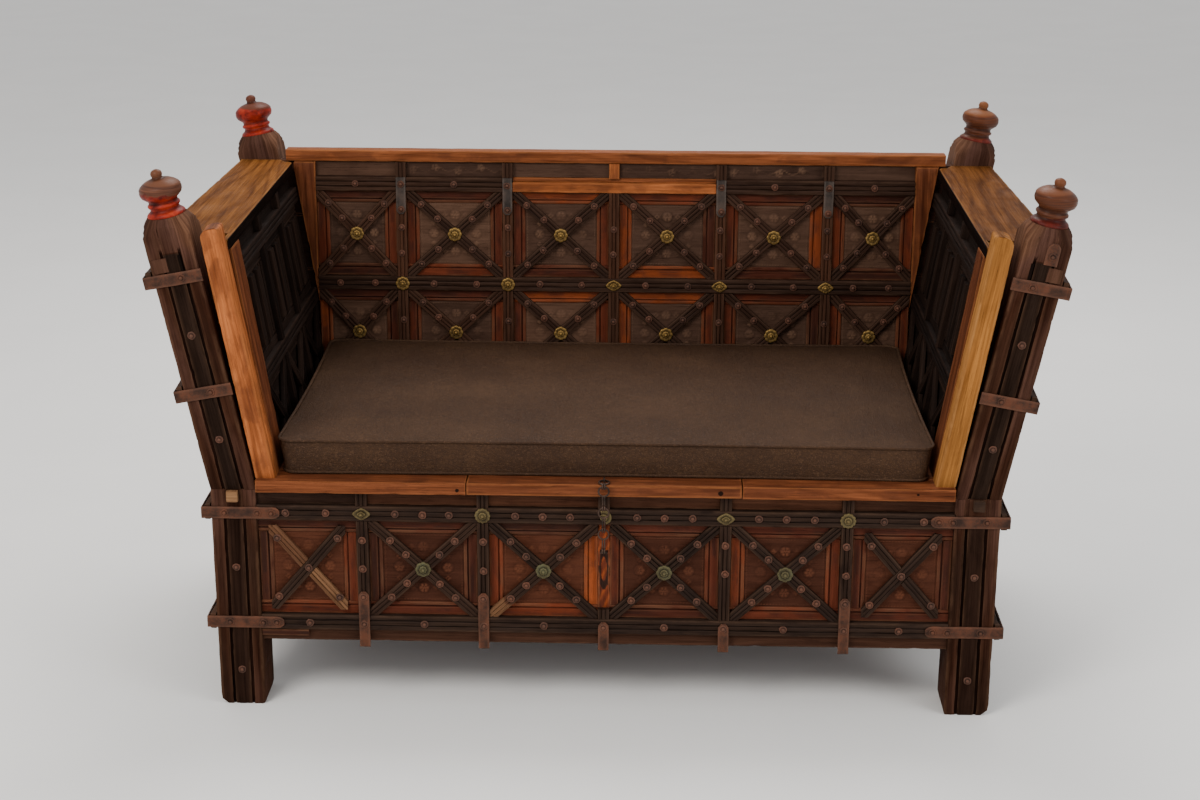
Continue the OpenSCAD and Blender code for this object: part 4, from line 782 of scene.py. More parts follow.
def boards_of(work):
    """The separate boards of a mesh, as lists of vertices in their order."""
    left = set(work.verts)
    while left:
        start = min(left, key=lambda v: v.index)
        board, ahead_of = {start}, [start]
        while ahead_of:
            for edge in ahead_of.pop().link_edges:
                for v in edge.verts:
                    if v not in board:
                        board.add(v)
                        ahead_of.append(v)
        left -= board
        yield sorted(board, key=lambda v: v.index)


def weathered(name, material, *stands_for, place=Matrix(), both=False, axis=0, tones=(0.3, 0.7), edge=1.6,
              chip=1.6, step=24.0, seed=0, body="frame", shaded_inside=False):
    """Worn wood in the shape of CAD solids: eased and chipped edges, a hand-worked face, a grain along one
    axis of the given frame, and a tone and a grain of its own for each board. A piece shaded inside gets
    painted shade on its side towards the seat, where it is painted nearly black."""
    piece = Piece(name, material)
    for side in BOTH[:1 + both]:
        local = side @ place
        work = bmesh.new()
        for node in stands_for:
            part = nodes[node].data.copy()
            part.transform(nodes[node].matrix_world)
            work.from_mesh(part)
            bpy.data.meshes.remove(part)
        if both:
            bmesh.ops.delete(work, geom=[v for v in work.verts if v.co.x * side[0][0] < 0], context="VERTS")
        into = local.inverted()
        for v in work.verts:
            v.co = into @ (v.co / MM)
        bmesh.ops.remove_doubles(work, verts=work.verts, dist=0.01)
        bmesh.ops.dissolve_limit(work, angle_limit=0.01, verts=work.verts, edges=work.edges)
        sharp = [e for e in work.edges if len(e.link_faces) == 2 and e.calc_face_angle(0) > 0.5]
        bmesh.ops.bevel(work, geom=sharp, offset=edge, segments=2, profile=0.65, affect="EDGES",
                        clamp_overlap=True)
        worn = work.verts.layers.float.new("worn")
        for v in work.verts:
            v[worn] = 1
        broad = [f for f in work.faces if 2 * f.calc_area() > BROAD * f.calc_perimeter()]
        if broad:
            bmesh.ops.inset_individual(work, faces=broad, thickness=INSET, use_even_offset=True)
        for f in broad:
            for v in f.verts:
                v[worn] = 0
        reach = [v.co[axis] for v in work.verts]
        way = Vector([float(i == axis) for i in range(3)])
        for i in range(1, int((max(reach) - min(reach)) / step) + 1):
            bmesh.ops.bisect_plane(work, geom=work.verts[:] + work.edges[:] + work.faces[:], dist=0.01,
                                   plane_co=way * (min(reach) + i * step), plane_no=way)
        bmesh.ops.recalc_face_normals(work, faces=work.faces)
        work.normal_update()
        work.verts.index_update()
        work.faces.index_update()
        b, c = [i for i in range(3) if i != axis]
        for board in boards_of(work):
            seed += 1
            own = random.Random(seed * 5 + 3)
            shade, tone = own.random() * GRAIN_SPREAD, own.uniform(*tones)
            order = {v: i for i, v in enumerate(board)}
            points, wear, shades = [], [], []
            for v in board:
                # Painted shade: faces towards the seat are painted nearly black, with the darkest tone and
                # the groove darkening.
                dark = shaded_inside and v.normal.x * v.co.x < 0 and abs(v.normal.x) > 0.6
                at = v.co * 0.02 + Vector((seed * 3.1, 0, 0))
                deep = 0.5 * abs(noise.noise(at)) + 0.15 * abs(noise.noise(v.co * 0.11))
                bite = max(0.0, noise.noise(v.co * 0.055 + Vector((0, seed * 2.7, 0))) * 2 - 0.4)
                points.append(local @ (v.co - v.normal * (deep + chip * v[worn] * bite)))
                wear.append(-0.9 if dark else v[worn])
                shades.append(0.0 if dark else tone)
            faces, uvs = [], []
            for f in sorted({f for v in board for f in v.link_faces}, key=lambda f: f.index):
                n = [abs(x) for x in f.normal]
                u, w = (b, c) if n[axis] > 0.75 else (axis, c if n[b] > n[c] else b)
                faces.append([order[v] for v in f.verts])
                uvs.append(tuple((v.co[u] + shade, v.co[w] + shade) for v in f.verts))
            piece.add(points, faces, wear, shades, uvs=uvs)
        work.free()
    return piece.make(*stands_for, body=body, slot=slot_of(material))


def slot_of(material):
    """The part's slot that a wood stands for: its name without the words for age and look."""
    return "_".join(material.name.split("_")[1:3])


def pick(seed, low, high):
    return random.Random(seed).uniform(low, high)


# Posts
def post_tones(strip, low, high, top):
    """The strip between the grooves is darker than the wood beside it."""
    def tone(p, q, s):
        if abs(p) < strip and q > 0 and s < top:
            return low
        return high + 0.1 * math.sin(s * 0.011 + p * 0.05) + 0.15 * max(0.0, min(1.0, (s - top + 60) / 70))

    return tone


def post_section(width, depth, front, side):
    """Section of a post, drawn from its inner back corner. Grooves stand at the given distances from the
    inner edge, or the side has a few plain points."""
    w, d = width, depth
    points = [(0, 5, 0.3), (1, 1.2, 1.0), (3.6, 0, 0.8), (8, 0, 0)]
    for g in front:
        a, b = g - GROOVE_W / 2, g + GROOVE_W / 2
        points += [(a - 8, 0, 0), (a - 2.2, 0, 0.4), (a - 0.4, 0.7, 0.9), (a, GROOVE_D, -1),
                   (b, GROOVE_D, -1), (b + 0.4, 0.7, 0.9), (b + 2.2, 0, 0.4), (b + 8, 0, 0)]
    points += [(w - 8, 0, 0), (w - 3.6, 0, 0.8), (w - 1, 1.2, 1.0), (w, 5, 0.6)]
    if not side:
        points = [(0, d * k / 6, 0) for k in range(5, 0, -1)] + points + [(w, d * k / 6, 0)
                                                                          for k in range(1, 6)]
    for g in side:
        a, b = g - GROOVE_W / 2, g + GROOVE_W / 2
        points += [(w, a - 8, 0), (w, a - 2.2, 0.4), (w - 0.7, a - 0.4, 0.9), (w - GROOVE_D, a, -1),
                   (w - GROOVE_D, b, -1), (w - 0.7, b + 0.4, 0.9), (w, b + 2.2, 0.4), (w, b + 8, 0)]
    points += [(w, d - 3.4, 0.6), (w - 1.2, d - 1, 1.0), (w - 5, d, 0.5), (w * 0.75, d, 0), (w / 2, d, 0),
               (w / 4, d, 0), (0, d, 0.2)]
    return [(w / 2 - x, d / 2 - y, wear) for x, y, wear in points]


HALF_PW, HALF_PD = POST_W / 2, POST_D / 2
HEAD_DROP, FOOT_WORN = 40.0, 5


def run_out(p, q, wear, fade):
    """Lets the grooves in a post's two outer faces run out: fade is 0 where they are whole and 1 at their
    end."""
    fade = min(1.0, max(0.0, fade))
    if HALF_PD - GROOVE_D - 0.1 < q < HALF_PD and abs(p) < HALF_PW - 6:
        q += (HALF_PD - q) * fade
    if p < -(HALF_PW - GROOVE_D - 0.1) and abs(q) < HALF_PD - 6:
        p += (-HALF_PW - p) * fade
    return p, q, wear + fade * max(0.0, -wear)


def lower_shape(s, length, p, q, wear):
    p, q, wear = run_out(p, q, wear, (s - (BOARD_Z - BLOCK_H)) / 10)
    if s < FOOT_CHAMFER and p < 0:
        p = max(p, -HALF_PW + (FOOT_CHAMFER - s) * 0.9)
    if s < FOOT_WORN:
        p, q = p * (1 - 0.012 * (FOOT_WORN - s)), q * (1 - 0.012 * (FOOT_WORN - s))
    return p, q, wear


def upper_shape(s, length, p, q, wear):
    """The head's block is cut by a cone."""
    up = s - HEAD_DROP
    p, q, wear = run_out(p, q, wear, (up - (UPPER_POST_L - BLOCK_H)) / 8)
    reach, turned_r = math.hypot(p, q), HEAD_R + (UPPER_POST_L + HEAD_RISE - up) * HEAD_SLOPE
    if reach > turned_r:
        p, q = p * turned_r / reach, q * turned_r / reach
    return p, q, wear


LOWER_SECTION = post_section(POST_W, POST_D, (POST_W * 0.27, POST_W * 0.7), (POST_D * 0.3, POST_D * 0.7))
UPPER_SECTION = post_section(POST_W, POST_D, (POST_W * 0.3, POST_W * 0.7), ())
for (left, back), place in CORNERS.items():
    name = f"{'back' if back else 'front'}_{'left' if left else 'right'}"
    seed = 11 + 2 * left + 5 * back
    middle = place @ shift(POST_IN + POST_W / 2, -POST_BACK - POST_D / 2, 0)
    foot = Piece(f"post_foot_{name}", wood_post)
    loft(foot, middle, (0, 0, 0), (0, 0, BOARD_Z), LOWER_SECTION, seed=seed, step=11, rough=0.8, chip=3.2,
         tone=post_tones(POST_W * 0.2, 0.42, 0.56, BOARD_Z - BLOCK_H), shape=lower_shape)
    foot.make(f"lower_post_{name}", slot="wood_dark")

    head = Piece(f"post_head_{name}", wood_post)
    leaning = place @ POST @ shift(-POST_W / 2, 0, 0)
    loft(head, leaning, (0, 0, -HEAD_DROP), (0, 0, UPPER_POST_L + HEAD_RISE), UPPER_SECTION, seed=seed + 20,
         step=4,
         tone=post_tones(POST_W * 0.19, 0.36, 0.62, UPPER_POST_L - BLOCK_H + HEAD_DROP), rough=0.8, chip=2.6,
         shape=upper_shape)
    if not back:
        face = leaning @ shift(0, -POST_D / 2, 0)
        for x, wide, low, high, shade in ((-14 if left else -19, 5, 90, 60, 0.0), (24, 28, 88, 62, 0.7)):
            h = wide / 2
            patch = [(-h, -3, -0.9), (-h, 0.5, -0.6), (-h + 1, 0.6, shade), (h - 1, 0.6, shade),
                     (h, 0.5, -0.6), (h, -3, -0.9)]
            stand(head, face, x, UPPER_POST_L - low, UPPER_POST_L - high, patch, tone=shade, seed=seed + wide,
                  step=6, rough=0.1, chip=0)
    head.make(f"upper_post_{name}", angle=20, cuts=[(Vector((0, 0, BOARD_Z)), (0, 0, -1), 0)],
              slot="wood_dark")

# Finials
OLD_REDS = ((54, 20, 16), (88, 30, 22), (112, 44, 30))
LACQUERS = {(True, False): ("lacquer_worn", 0.978, 1.012, (90, 56, 42), 0.95, (92, 56, 38)),
            (True, True): ("lacquer_red", 1.0, 1.06, (84, 44, 32), 0.42, (84, 46, 33)),
            (False, False): ("lacquer_brown_front", 0.955, 0.985, (82, 46, 29), 1.1, (98, 58, 37), OLD_REDS),
            (False, True): ("lacquer_brown_back", 0.955, 0.98, (86, 47, 29), 1.1, (108, 65, 39), OLD_REDS)}
FINIAL = [(34, 0, 0), (34.5, 2.5, 0.8), (34, 4, 1), (32, 6.5, 0.3), (30, 8, -0.4), (27.5, 10, -0.8),
          (26, 13, -0.9),
          (26, 16, 0), (28.6, 18, 0.6), (29.5, 20.5, 0.9), (28.8, 23, 0.4), (26.4, 25, -0.8), (26, 28, -0.9),
          (27, 31, -0.5), (31, 34.5, 0), (36, 39, 0.2), (38.2, 45, 0.5), (38.5, 49, 0.8), (37.6, 53.5, 0.5),
          (38, 54.6, 0.9), (35.5, 59, 0.2), (30, 64, 0), (23, 68, 0.1), (17, 70, -0.4), (12, 71, -0.9),
          (10.5, 72, -0.9), (9, 74.5, -0.6), (10.3, 78, 0.2), (10.5, 81, 0.4), (9.3, 84.6, 0.5),
          (6.5, 87.2, 0.6), (3, 88.7, 0.6), (0.8, 89, 0.6)]
for (left, back), place in CORNERS.items():
    name = f"{'back' if back else 'front'}_{'left' if left else 'right'}"
    knob = Piece(f"knob_{name}", lacquer(*LACQUERS[left, back]))
    outline = [(r, HEAD_RISE + z * (FINIAL[-1][1] - HEAD_RISE) / FINIAL[-1][1], w) for r, z, w in FINIAL]
    turned(knob, place @ POST @ shift(-POST_W / 2, 0, UPPER_POST_L), outline, 3 + left + 2 * back)
    knob.make(f"finial_{name}", angle=60, slot="lacquer")


# Walls: rails, straps, crosses, battens and carved panels
FIELD_Y, BATTEN_T = BATTEN_BACK + PANEL_BACK, STRIP_T - BATTEN_BACK


def wall_bay(parts, place, x0, x1, z0, z1, seed, tones, dark, limits=None):
    """One bay: battens round a carved panel. tones are for bottom, top, left and right. limits are the
    heights between which the bay is seen."""
    panels, battens = parts
    low, high = limits or (z0, z1)
    section = moulding(BATTEN_W, BATTEN_T)
    flipped = [(-p, q, w) for p, q, w in reversed(section)]
    foot, head, half = max(low, z0 + BATTEN_W), z1 - BATTEN_W, BATTEN_W / 2
    off = (foot + z1 - BATTEN_W) / 2 - (z0 + z1) / 2
    relief(panels, place, x0 + BATTEN_W, x1 - BATTEN_W, foot, head, FIELD_Y,
           lambda x, z, hx, hz: field(x, z + off, hx, (z1 - z0) / 2 - BATTEN_W), seed, dark)
    bottom, top, left, right = tones
    if low <= z0:
        rail(battens, place, x0, x1, z0 + half, section, BATTEN_BACK, tone=bottom, seed=seed + 1)
    rail(battens, place, x0, x1, z1 - half, flipped, BATTEN_BACK, tone=top, seed=seed + 2)
    stand(battens, place, x0 + half, foot, head, flipped, BATTEN_BACK, tone=left, seed=seed + 3)
    stand(battens, place, x1 - half, foot, head, section, BATTEN_BACK, tone=right, seed=seed + 4)


def cross_heads(heads, place, x0, x1, z0, z1, steps, seed, upper_only=False):
    """Rivets on a cross, at shares of its arms."""
    for sx in (-1, 1):
        for sz in (1,) if upper_only else (-1, 1):
            for k in steps:
                rivet(heads, place, (x0 + x1) / 2 + sx * k * (x1 - x0) / 2,
                      (z0 + z1) / 2 + sz * k * (z1 - z0) / 2, CROSS_BACK, seed)


def fill_board(piece, place, x0, x1, z0, z1, **more):
    """A plain board between the strips, as deep as the battens."""
    rail(piece, place, x0, x1, (z0 + z1) / 2, slab(z1 - z0, BATTEN_T, steps=2), BATTEN_BACK, **more)


TWO_EACH, ONE_EACH = (0.36, 0.7), (0.62,)
APRON_TONES = (0.5, 0.76, 0.8, 0.74, 0.8, 0.68)
APRON = (FRONT_RAIL_Z + RAIL_W / 2, BOARD_Z)
BOTTOM_BOARD = (BOX_BOTTOM, FRONT_LOW - RAIL_W / 2)
STRAP, RAIL = ribs(STRAP_W, STRIP_T), ribs(RAIL_W, STRIP_T)

# Front of the box. The arms of two crosses are paler than the rest.
panels, battens = Piece("front_carving", wood_panel), Piece("front_mouldings", wood_red, wood_dark)
strips, crosses = Piece("front_lattice", wood_dark), Piece("front_saltires", wood_dark)
heads = Piece("front_rivet_heads", studs)
FRONT_TONES = ((0.6, 0.42, 0.35, 0.62), (0.52, 0.45, 0.32, 0.42), (0.72, 0.3, 0.66, 0.9),
               (0.44, 0.5, 0.6, 0.55), (0.6, 0.5, 0.74, 0.62), (0.5, 0.5, 0.5, 0.42))
PALE_ARMS = {0: {(-1, 1): 0.9, (-1, -1): 0.84}, 2: {(1, None): lambda p, q, s: 0.9 if s < -92 else 0.4}}
for i, (x0, x1) in enumerate(FRONT_BAYS):
    outer = i in (0, 5)
    wall_bay((panels, battens), FRONT, x0, x1, *FRONT_ROW, 100 + 10 * i, FRONT_TONES[i], pick(i, 0.3, 0.8))
    inset = BATTEN_W - 6 if outer else 0
    saltire(crosses, FRONT, x0 + inset, x1 - inset, FRONT_ROW[0] + inset / 2, FRONT_ROW[1] - inset / 2,
            40 + i, pick(i + 5, 0.2, 0.5), tones=PALE_ARMS.get(i))
    cross_heads(heads, FRONT, x0, x1, *FRONT_ROW, ONE_EACH if outer else (0.31, 0.6), i)
    if outer:
        rivet(heads, FRONT, (x0 + x1) / 2, sum(FRONT_ROW) / 2, CROSS_BACK)
    for k in (0.3, 0.7) if outer else (0.25, 0.5, 0.75):
        rivet(heads, FRONT, x0 + k * (x1 - x0), FRONT_RAIL_Z)
    rivet(heads, FRONT, (x0 + x1) / 2, FRONT_LOW)
    fill_board(battens, FRONT, x0, x1, *APRON, tone=APRON_TONES[i], seed=i + 60, slot=1)
fill_board(battens, FRONT, -POST_IN, POST_IN, *BOTTOM_BOARD, tone=0.66, seed=70, chip=2.5, slot=1)
for n, z in enumerate((FRONT_LOW, FRONT_RAIL_Z)):
    rail(strips, FRONT, -POST_IN, POST_IN, z, RAIL, tone=0.35, seed=81 + n, rough=0.8, chip=2)
for i, x in enumerate(STRAP_X):
    top = FRONT_ROW[0] + BOARD_FOOT if x == 0 else FRONT_ROW[1]
    stand(strips, FRONT, x, FRONT_ROW[0], top, STRAP, tone=0.4, seed=90 + i, rough=0.8, chip=2)
    stand(strips, FRONT, x, *APRON, STRAP, tone=0.4, seed=95 + i)
    long = x < 0 or x > BAY
    rivet(heads, FRONT, x, FRONT_LOW, -IRON_T)
    if long:
        rivet(heads, FRONT, x, BOX_BOTTOM - TAB_DROP + TAB_L - TAB_W / 2, -IRON_T)
    if x:
        for k in (0.5, 0.8):
            rivet(heads, FRONT, x, FRONT_ROW[0] + k * (FRONT_ROW[1] - FRONT_ROW[0]))


def scorched(p, q, s):
    """The mark of a lock plate on the worn middle strip: a dark oval line."""
    far = math.hypot(p / 8, (s - 78) / 34)
    return 0.1 if 0.72 < far < 1.2 else 0.98 - 0.35 * abs(math.sin(s * 0.09 + p * 0.2))


stand(battens, FRONT, 0, FRONT_ROW[0] + BOARD_FOOT, FRONT_ROW[1], slab(STRAP_W, BATTEN_T, steps=9),
      BATTEN_BACK, tone=scorched, seed=99, step=3, rough=0.9, chip=3)
LATH_L, LATH_W = 88, 13
rail(battens, FRONT, -POST_IN, -POST_IN + LATH_L, BOTTOM_BOARD[1] - 7.5, slab(LATH_W, 8, ease=2, steps=1), 2,
     tone=0.3, seed=98, chip=2)
panels.make("front_panels", slot="wood_panel")
battens.make("front_battens", slot="wood_red")
strips.make("front_strips", slot="wood_dark")
crosses.make("front_crosses", slot="wood_dark")
heads.make("front_rivets", angle=50, slot="iron")

# Back of the seat. The bottom row is cut off a little above the seat boards, behind the cushion.
panels, battens = Piece("back_carving", wood_dusty), Piece("back_mouldings", wood_red)
strips, crosses = Piece("back_lattice", wood_dark), Piece("back_saltires", wood_dark)
heads = Piece("back_rivet_heads", studs)
BACK_SEAT = 2
FRIEZE = (BACK_RAIL_Z + RAIL_W / 2, BACK_TOP)
for i, (x0, x1) in enumerate(BACK_BAYS):
    for row, (z0, z1) in enumerate(BACK_ROWS):
        tones = [pick(7 * i + row * 31 + k, 0.35, 0.85) for k in range(4)]
        limits = (max(z0, BACK_SEAT), z1)
        wall_bay((panels, battens), BACK, x0, x1, z0, z1, 200 + 10 * i + 70 * row, tones,
                 pick(i + row, 0.2, 0.7), limits)
        saltire(crosses, BACK, x0, x1, z0, z1, 140 + i + 8 * row, pick(i + row + 5, 0.42, 0.68), limits)
        cross_heads(heads, BACK, x0, x1, z0, z1, TWO_EACH, i, upper_only=row == 0)
    relief(panels, BACK, x0, x1, FRIEZE[0] + 0.5, FRIEZE[1] - 0.5, FIELD_Y, scroll
           if i in (1, 3, 4) else None, 330 + i, 0.1 + 0.2 * (i in (0, 2, 5)), step=3)
    for k in (0.28, 0.72):
        rivet(heads, BACK, x0 + k * (x1 - x0), BACK_MID)
    if i in (0, 1, 4, 5):
        rivet(heads, BACK, (x0 + x1) / 2, BACK_RAIL_Z)
gap = BAY - STRAP_W / 2
rail(strips, BACK, -BACK_HALF, BACK_HALF, BACK_MID, RAIL, tone=0.48, seed=301, rough=0.8)
for side in (-1, 1):
    rail(strips, BACK, side * gap, side * BACK_HALF, BACK_RAIL_Z, RAIL, tone=0.5, seed=303 + side, rough=0.8)
for i, x in enumerate(STRAP_X):
    stand(strips, BACK, x, BACK_SEAT, BACK_ROWS[0][1], STRAP, tone=0.66, seed=310 + i, rough=0.8)
    stand(strips, BACK, x, *BACK_ROWS[1], STRAP, tone=0.73, seed=316 + i, rough=0.8)
    for k in (0.24, 0.5):
        rivet(heads, BACK, x, BACK_ROWS[1][0] + k * BACK_ROW_H)
    rivet(heads, BACK, x, BACK_ROWS[0][1] - BACK_ROW_H * 0.3)
    if x:
        stand(strips, BACK, x, *FRIEZE, STRAP, tone=0.6, seed=322 + i)
        for z in (BACK_RAIL_Z, BACK_TAB_Z + TAB_W / 2):
            rivet(heads, BACK, x, z, -IRON_T)
panels.make("back_panels", slot="wood_panel")
battens.make("back_battens", slot="wood_red")
strips.make("back_strips", slot="wood_dark")
crosses.make("back_crosses", slot="wood_dark")
heads.make("back_rivets", angle=50, slot="iron")

repair = Piece("let_in_strips", wood_orange)
rail(repair, BACK, -gap, gap, BACK_RAIL_Z - RAIL_W * 0.15, slab(RAIL_W * 0.7, STRIP_T, steps=1), tone=0.8,
     seed=350)
rail(repair, BACK, -gap, gap, BACK_RAIL_Z + RAIL_W * 0.35, slab(RAIL_W * 0.3, BATTEN_T), BATTEN_BACK,
     tone=0.5, seed=351)
stand(repair, BACK, 0, *FRIEZE, slab(STRAP_W, STRIP_T - PANEL_BACK, steps=1), PANEL_BACK, tone=0.9, seed=352)
repair.make("repair_strips", slot="wood_orange")
top_rail = Piece("back_top_rail", wood_orange)
CAP_HALF_L, CAP_H, CAP_D = 692, 24, 34
rail(top_rail, BACK @ shift(0, BATTEN_BACK - PANEL_BACK, BACK_TOP), -CAP_HALF_L, CAP_HALF_L, CAP_H / 2,
     slab(CAP_H, CAP_D, ease=2.5, steps=1), tone=0.55, seed=360)
top_rail.make("back_cap_rail", slot="wood_orange")


# Sides of the box, outer faces of the arms and their linings
def lattice(place, bays, rows, rails, straps, parts, seed, shades, low, high, studded=None, slatted=False):
    """Rails, upright strips, crosses and carved panels of one wall, between the heights low and high.
    shades are its low and high tones. A slatted wall has two slats in place of each cross of its upper
    row."""
    panels, battens, strips, crosses = parts
    for i, (x0, x1) in enumerate(bays):
        for k, (z0, z1) in enumerate(rows):
            mark = seed + 10 * i + 40 * k
            limits = (max(z0, low), min(z1, high))
            tones = [pick(mark + n, *shades) for n in range(4)]
            wall_bay((panels, battens), place, x0, x1, z0, z1, mark, tones, pick(mark, *shades), limits)
            if slatted and k:
                width = (x1 - x0 - 2 * BATTEN_W) / 5
                for n in (1, 3):
                    stand(crosses, place, x0 + BATTEN_W + (n + 0.5) * width, z0 + BATTEN_W, z1 - BATTEN_W,
                          ribs(width, 9), CROSS_BACK + 1, tone=pick(mark + n + 20, *shades),
                          seed=mark + n + 5)
            else:
                saltire(crosses, place, x0, x1, z0, z1, mark + 5, pick(mark + 6, *shades), limits)
            if studded is not None:
                cross_heads(studded, place, x0, x1, z0, z1, ONE_EACH, mark)
                rivet(studded, place, (x0 + x1) / 2, (z0 + z1) / 2, CROSS_BACK)
    for n, z in enumerate(rails):
        rail(strips, place, bays[0][0], bays[-1][1], z, RAIL, tone=pick(seed + n, *shades),
             seed=seed + 91 + n, rough=0.8, chip=2)
    for n, (x, z0, z1) in enumerate(straps):
        stand(strips, place, x, z0, z1, STRAP, tone=pick(seed + n + 9, *shades), seed=seed + 95 + n,
              rough=0.8)


def wall_parts(wall, *woods):
    """The four pieces of a wall: carving, mouldings, lattice and crosses."""
    return [Piece(f"{wall}_{part}", used) for part, used in
            zip(("carving", "mouldings", "lattice", "saltires"), woods)]


WALL_WOODS = (wood_panel, wood_red, wood_dark, wood_dark)
side_parts, side_heads = wall_parts("side", *WALL_WOODS), Piece("side_rivet_heads", studs)
outer_parts, lining_parts = wall_parts("arm", *WALL_WOODS), wall_parts("lining", *[wood_shaded] * 4)
UPPER_ROW = (BAND_Z[0] + RAIL_W / 2, BAND_Z[1] - RAIL_W / 2)
WALL_TOP = UPPER_POST_L - BLOCK_H
LINING_FRONT = -HALF_D + TRIM_D + STILE_D
LINING_SPAN = BACK_DEPTH - HALF_D - LINING_FRONT
LINING_BAY = LINING_SPAN / 3
LINING_RAILS = [z - SEAT_BOARD for z in BAND_Z]
LINING_ROWS = [(LINING_RAILS[0] - ROW_H + RAIL_W / 2, LINING_RAILS[0] - RAIL_W / 2),
               (LINING_RAILS[0] + RAIL_W / 2, LINING_RAILS[1] - RAIL_W / 2)]
LINING_BAYS = [((i - 0.5) * LINING_BAY + STRAP_W / 2 * (i > -1),
                (i + 0.5) * LINING_BAY - STRAP_W / 2 * (i < 1))
               for i in (-1, 0, 1)]
ARM_REACH = POST_BACK + UPPER_POST_L * math.tan(math.radians(END_LEAN)) + 8
OUTER_BAYS = ((-ARM_REACH, SIDE_BAYS[0][1]), SIDE_BAYS[1], (SIDE_BAYS[2][0], ARM_REACH))
CAP_UNDER = CAP_TOP - CAP_T
outer_cuts = [(Vector((0, 0, BOARD_Z)), (0, 0, -1), 0), (Vector((0, 0, CAP_UNDER)), (0, 0, 1), 0)]
lining_cuts = [(Vector((0, 0, SEAT_H + 0.2)), (0, 0, -1), 0), (Vector((0, 0, CAP_UNDER)), (0, 0, 1), 0),
               (BACK @ Vector((0, -0.2, 0)), BACK.to_3x3() @ Vector((0, 1, 0)), 0)]
for n, side in enumerate(BOTH):
    place = side @ SIDE
    ups = [(x, *FRONT_ROW) for x in SIDE_STRAPS] + [(x, *APRON) for x in SIDE_STRAPS]
    lattice(place, SIDE_BAYS, (FRONT_ROW,), (FRONT_LOW, FRONT_RAIL_Z), ups, side_parts, 600 + 300 * n,
            (0.3, 0.62), *FRONT_ROW, side_heads)
    for x in SIDE_STRAPS:
        for k in (0.3, 0.7):
            rivet(side_heads, place, x, FRONT_ROW[0] + k * (FRONT_ROW[1] - FRONT_ROW[0]))
    for i, (x0, x1) in enumerate(SIDE_BAYS):
        fill_board(side_parts[1], place, x0, x1, *APRON, tone=pick(i + n, 0.1, 0.35), seed=760 + i + 5 * n)
    fill_board(side_parts[1], place, -POST_BACK, POST_BACK, *BOTTOM_BOARD, tone=0.2, seed=770 + n, chip=2.5)

    place = side @ OUTER
    ups = [(x, low, high) for x in SIDE_STRAPS for low, high in
           ((-WALL_T, BAND_Z[0] - RAIL_W / 2), UPPER_ROW, (BAND_Z[1] + RAIL_W / 2, WALL_TOP))]
    lattice(place, OUTER_BAYS, ((BAND_Z[0] - ROW_H + RAIL_W / 2, BAND_Z[0] - RAIL_W / 2), UPPER_ROW), BAND_Z,
            ups, outer_parts, 620 + 300 * n, (0.25, 0.6), -WALL_T, UPPER_ROW[1])
    for x0, x1 in OUTER_BAYS:
        relief(outer_parts[0], place, x0, x1, BAND_Z[1] + RAIL_W / 2, WALL_TOP, FIELD_Y, None, 700 + x0, 0.3,
               step=6)
    planks = 4
    width = (WALL_TOP + WALL_T + PLANK_GAP) / planks
    for i in range(planks):
        rail(outer_parts[2], place, -ARM_REACH, ARM_REACH, -WALL_T + (i + 0.5) * width - PLANK_GAP / 2,
             slab(width - PLANK_GAP, WALL_T), STRIP_T, tone=0.3, seed=720 + i, step=40)
    for back in (False, True):
        post = side @ CORNERS[False, back] @ POST
        inside = post @ Vector((0, POST_D / 2 + 0.1, 0))
        outer_cuts.append((inside, post.to_3x3() @ Vector((0, -1, 0)), side[0][0]))

    # The linings take low tones of the shaded wood: painted shade, as they lie under the caps.
    place = side @ LINING @ shift(-LINING_FRONT - LINING_SPAN / 2, 0, 0)
    ups = [(x, low, high) for x in (-LINING_BAY / 2, LINING_BAY / 2) for low, high in
           ((-WALL_T, LINING_RAILS[0] - RAIL_W / 2), LINING_ROWS[1], (LINING_RAILS[1] + RAIL_W / 2, SEAT_H))]
    lattice(place, LINING_BAYS, LINING_ROWS, LINING_RAILS, ups, lining_parts, 640 + 300 * n, (0.0, 0.36),
            -WALL_T, LINING_ROWS[1][1], slatted=True)
    for x0, x1 in LINING_BAYS:
        relief(lining_parts[0], place, x0, x1, LINING_RAILS[1] + RAIL_W / 2, SEAT_H, FIELD_Y, None, 740 + x0,
               0.1, step=6)
side_parts[0].make("side_panels", slot="wood_panel")
side_parts[1].make("side_panels", slot="wood_red")
side_parts[2].make("side_strips", slot="wood_dark")
side_parts[3].make("side_crosses", slot="wood_dark")
for parts, cuts, node in ((outer_parts, outer_cuts, "arm_walls"),
                          (lining_parts, lining_cuts, "lining_strips")):
    for part in parts:
        part.make(node, cuts=cuts, slot=slot_of(part.materials[0]))
for (left, back), place in CORNERS.items():
    for z in (FRONT_LOW - ROW_H * 0.45, (FRONT_LOW + FRONT_RAIL_Z) / 2):
        rivet(side_heads, place @ FRONT, HALF_W - POST_W / 2, z)
        rivet(side_heads, place @ shift(HALF_W, 0, 0) @ turn("Z", 90), -HALF_D + POST_D / 2, z)
    for z in (BAND_Z[0] / 2, sum(BAND_Z) / 2):
        rivet(side_heads, place @ POST, -POST_W / 2, z, -POST_D / 2)
side_heads.make("side_rivets", angle=50, slot="iron")

# Worn boards in the shape of their solids
# The caps' sides towards the seat get painted shade.
CAP_WEAR_AND_SHADE = dict(axis=1, edge=2.4, chip=1.2, step=16, shaded_inside=True)
weathered("side_end_strips", wood_dark, "side_rails", place=SIDE, both=True, tones=(0.4, 0.65), edge=0.7,
          seed=1000)
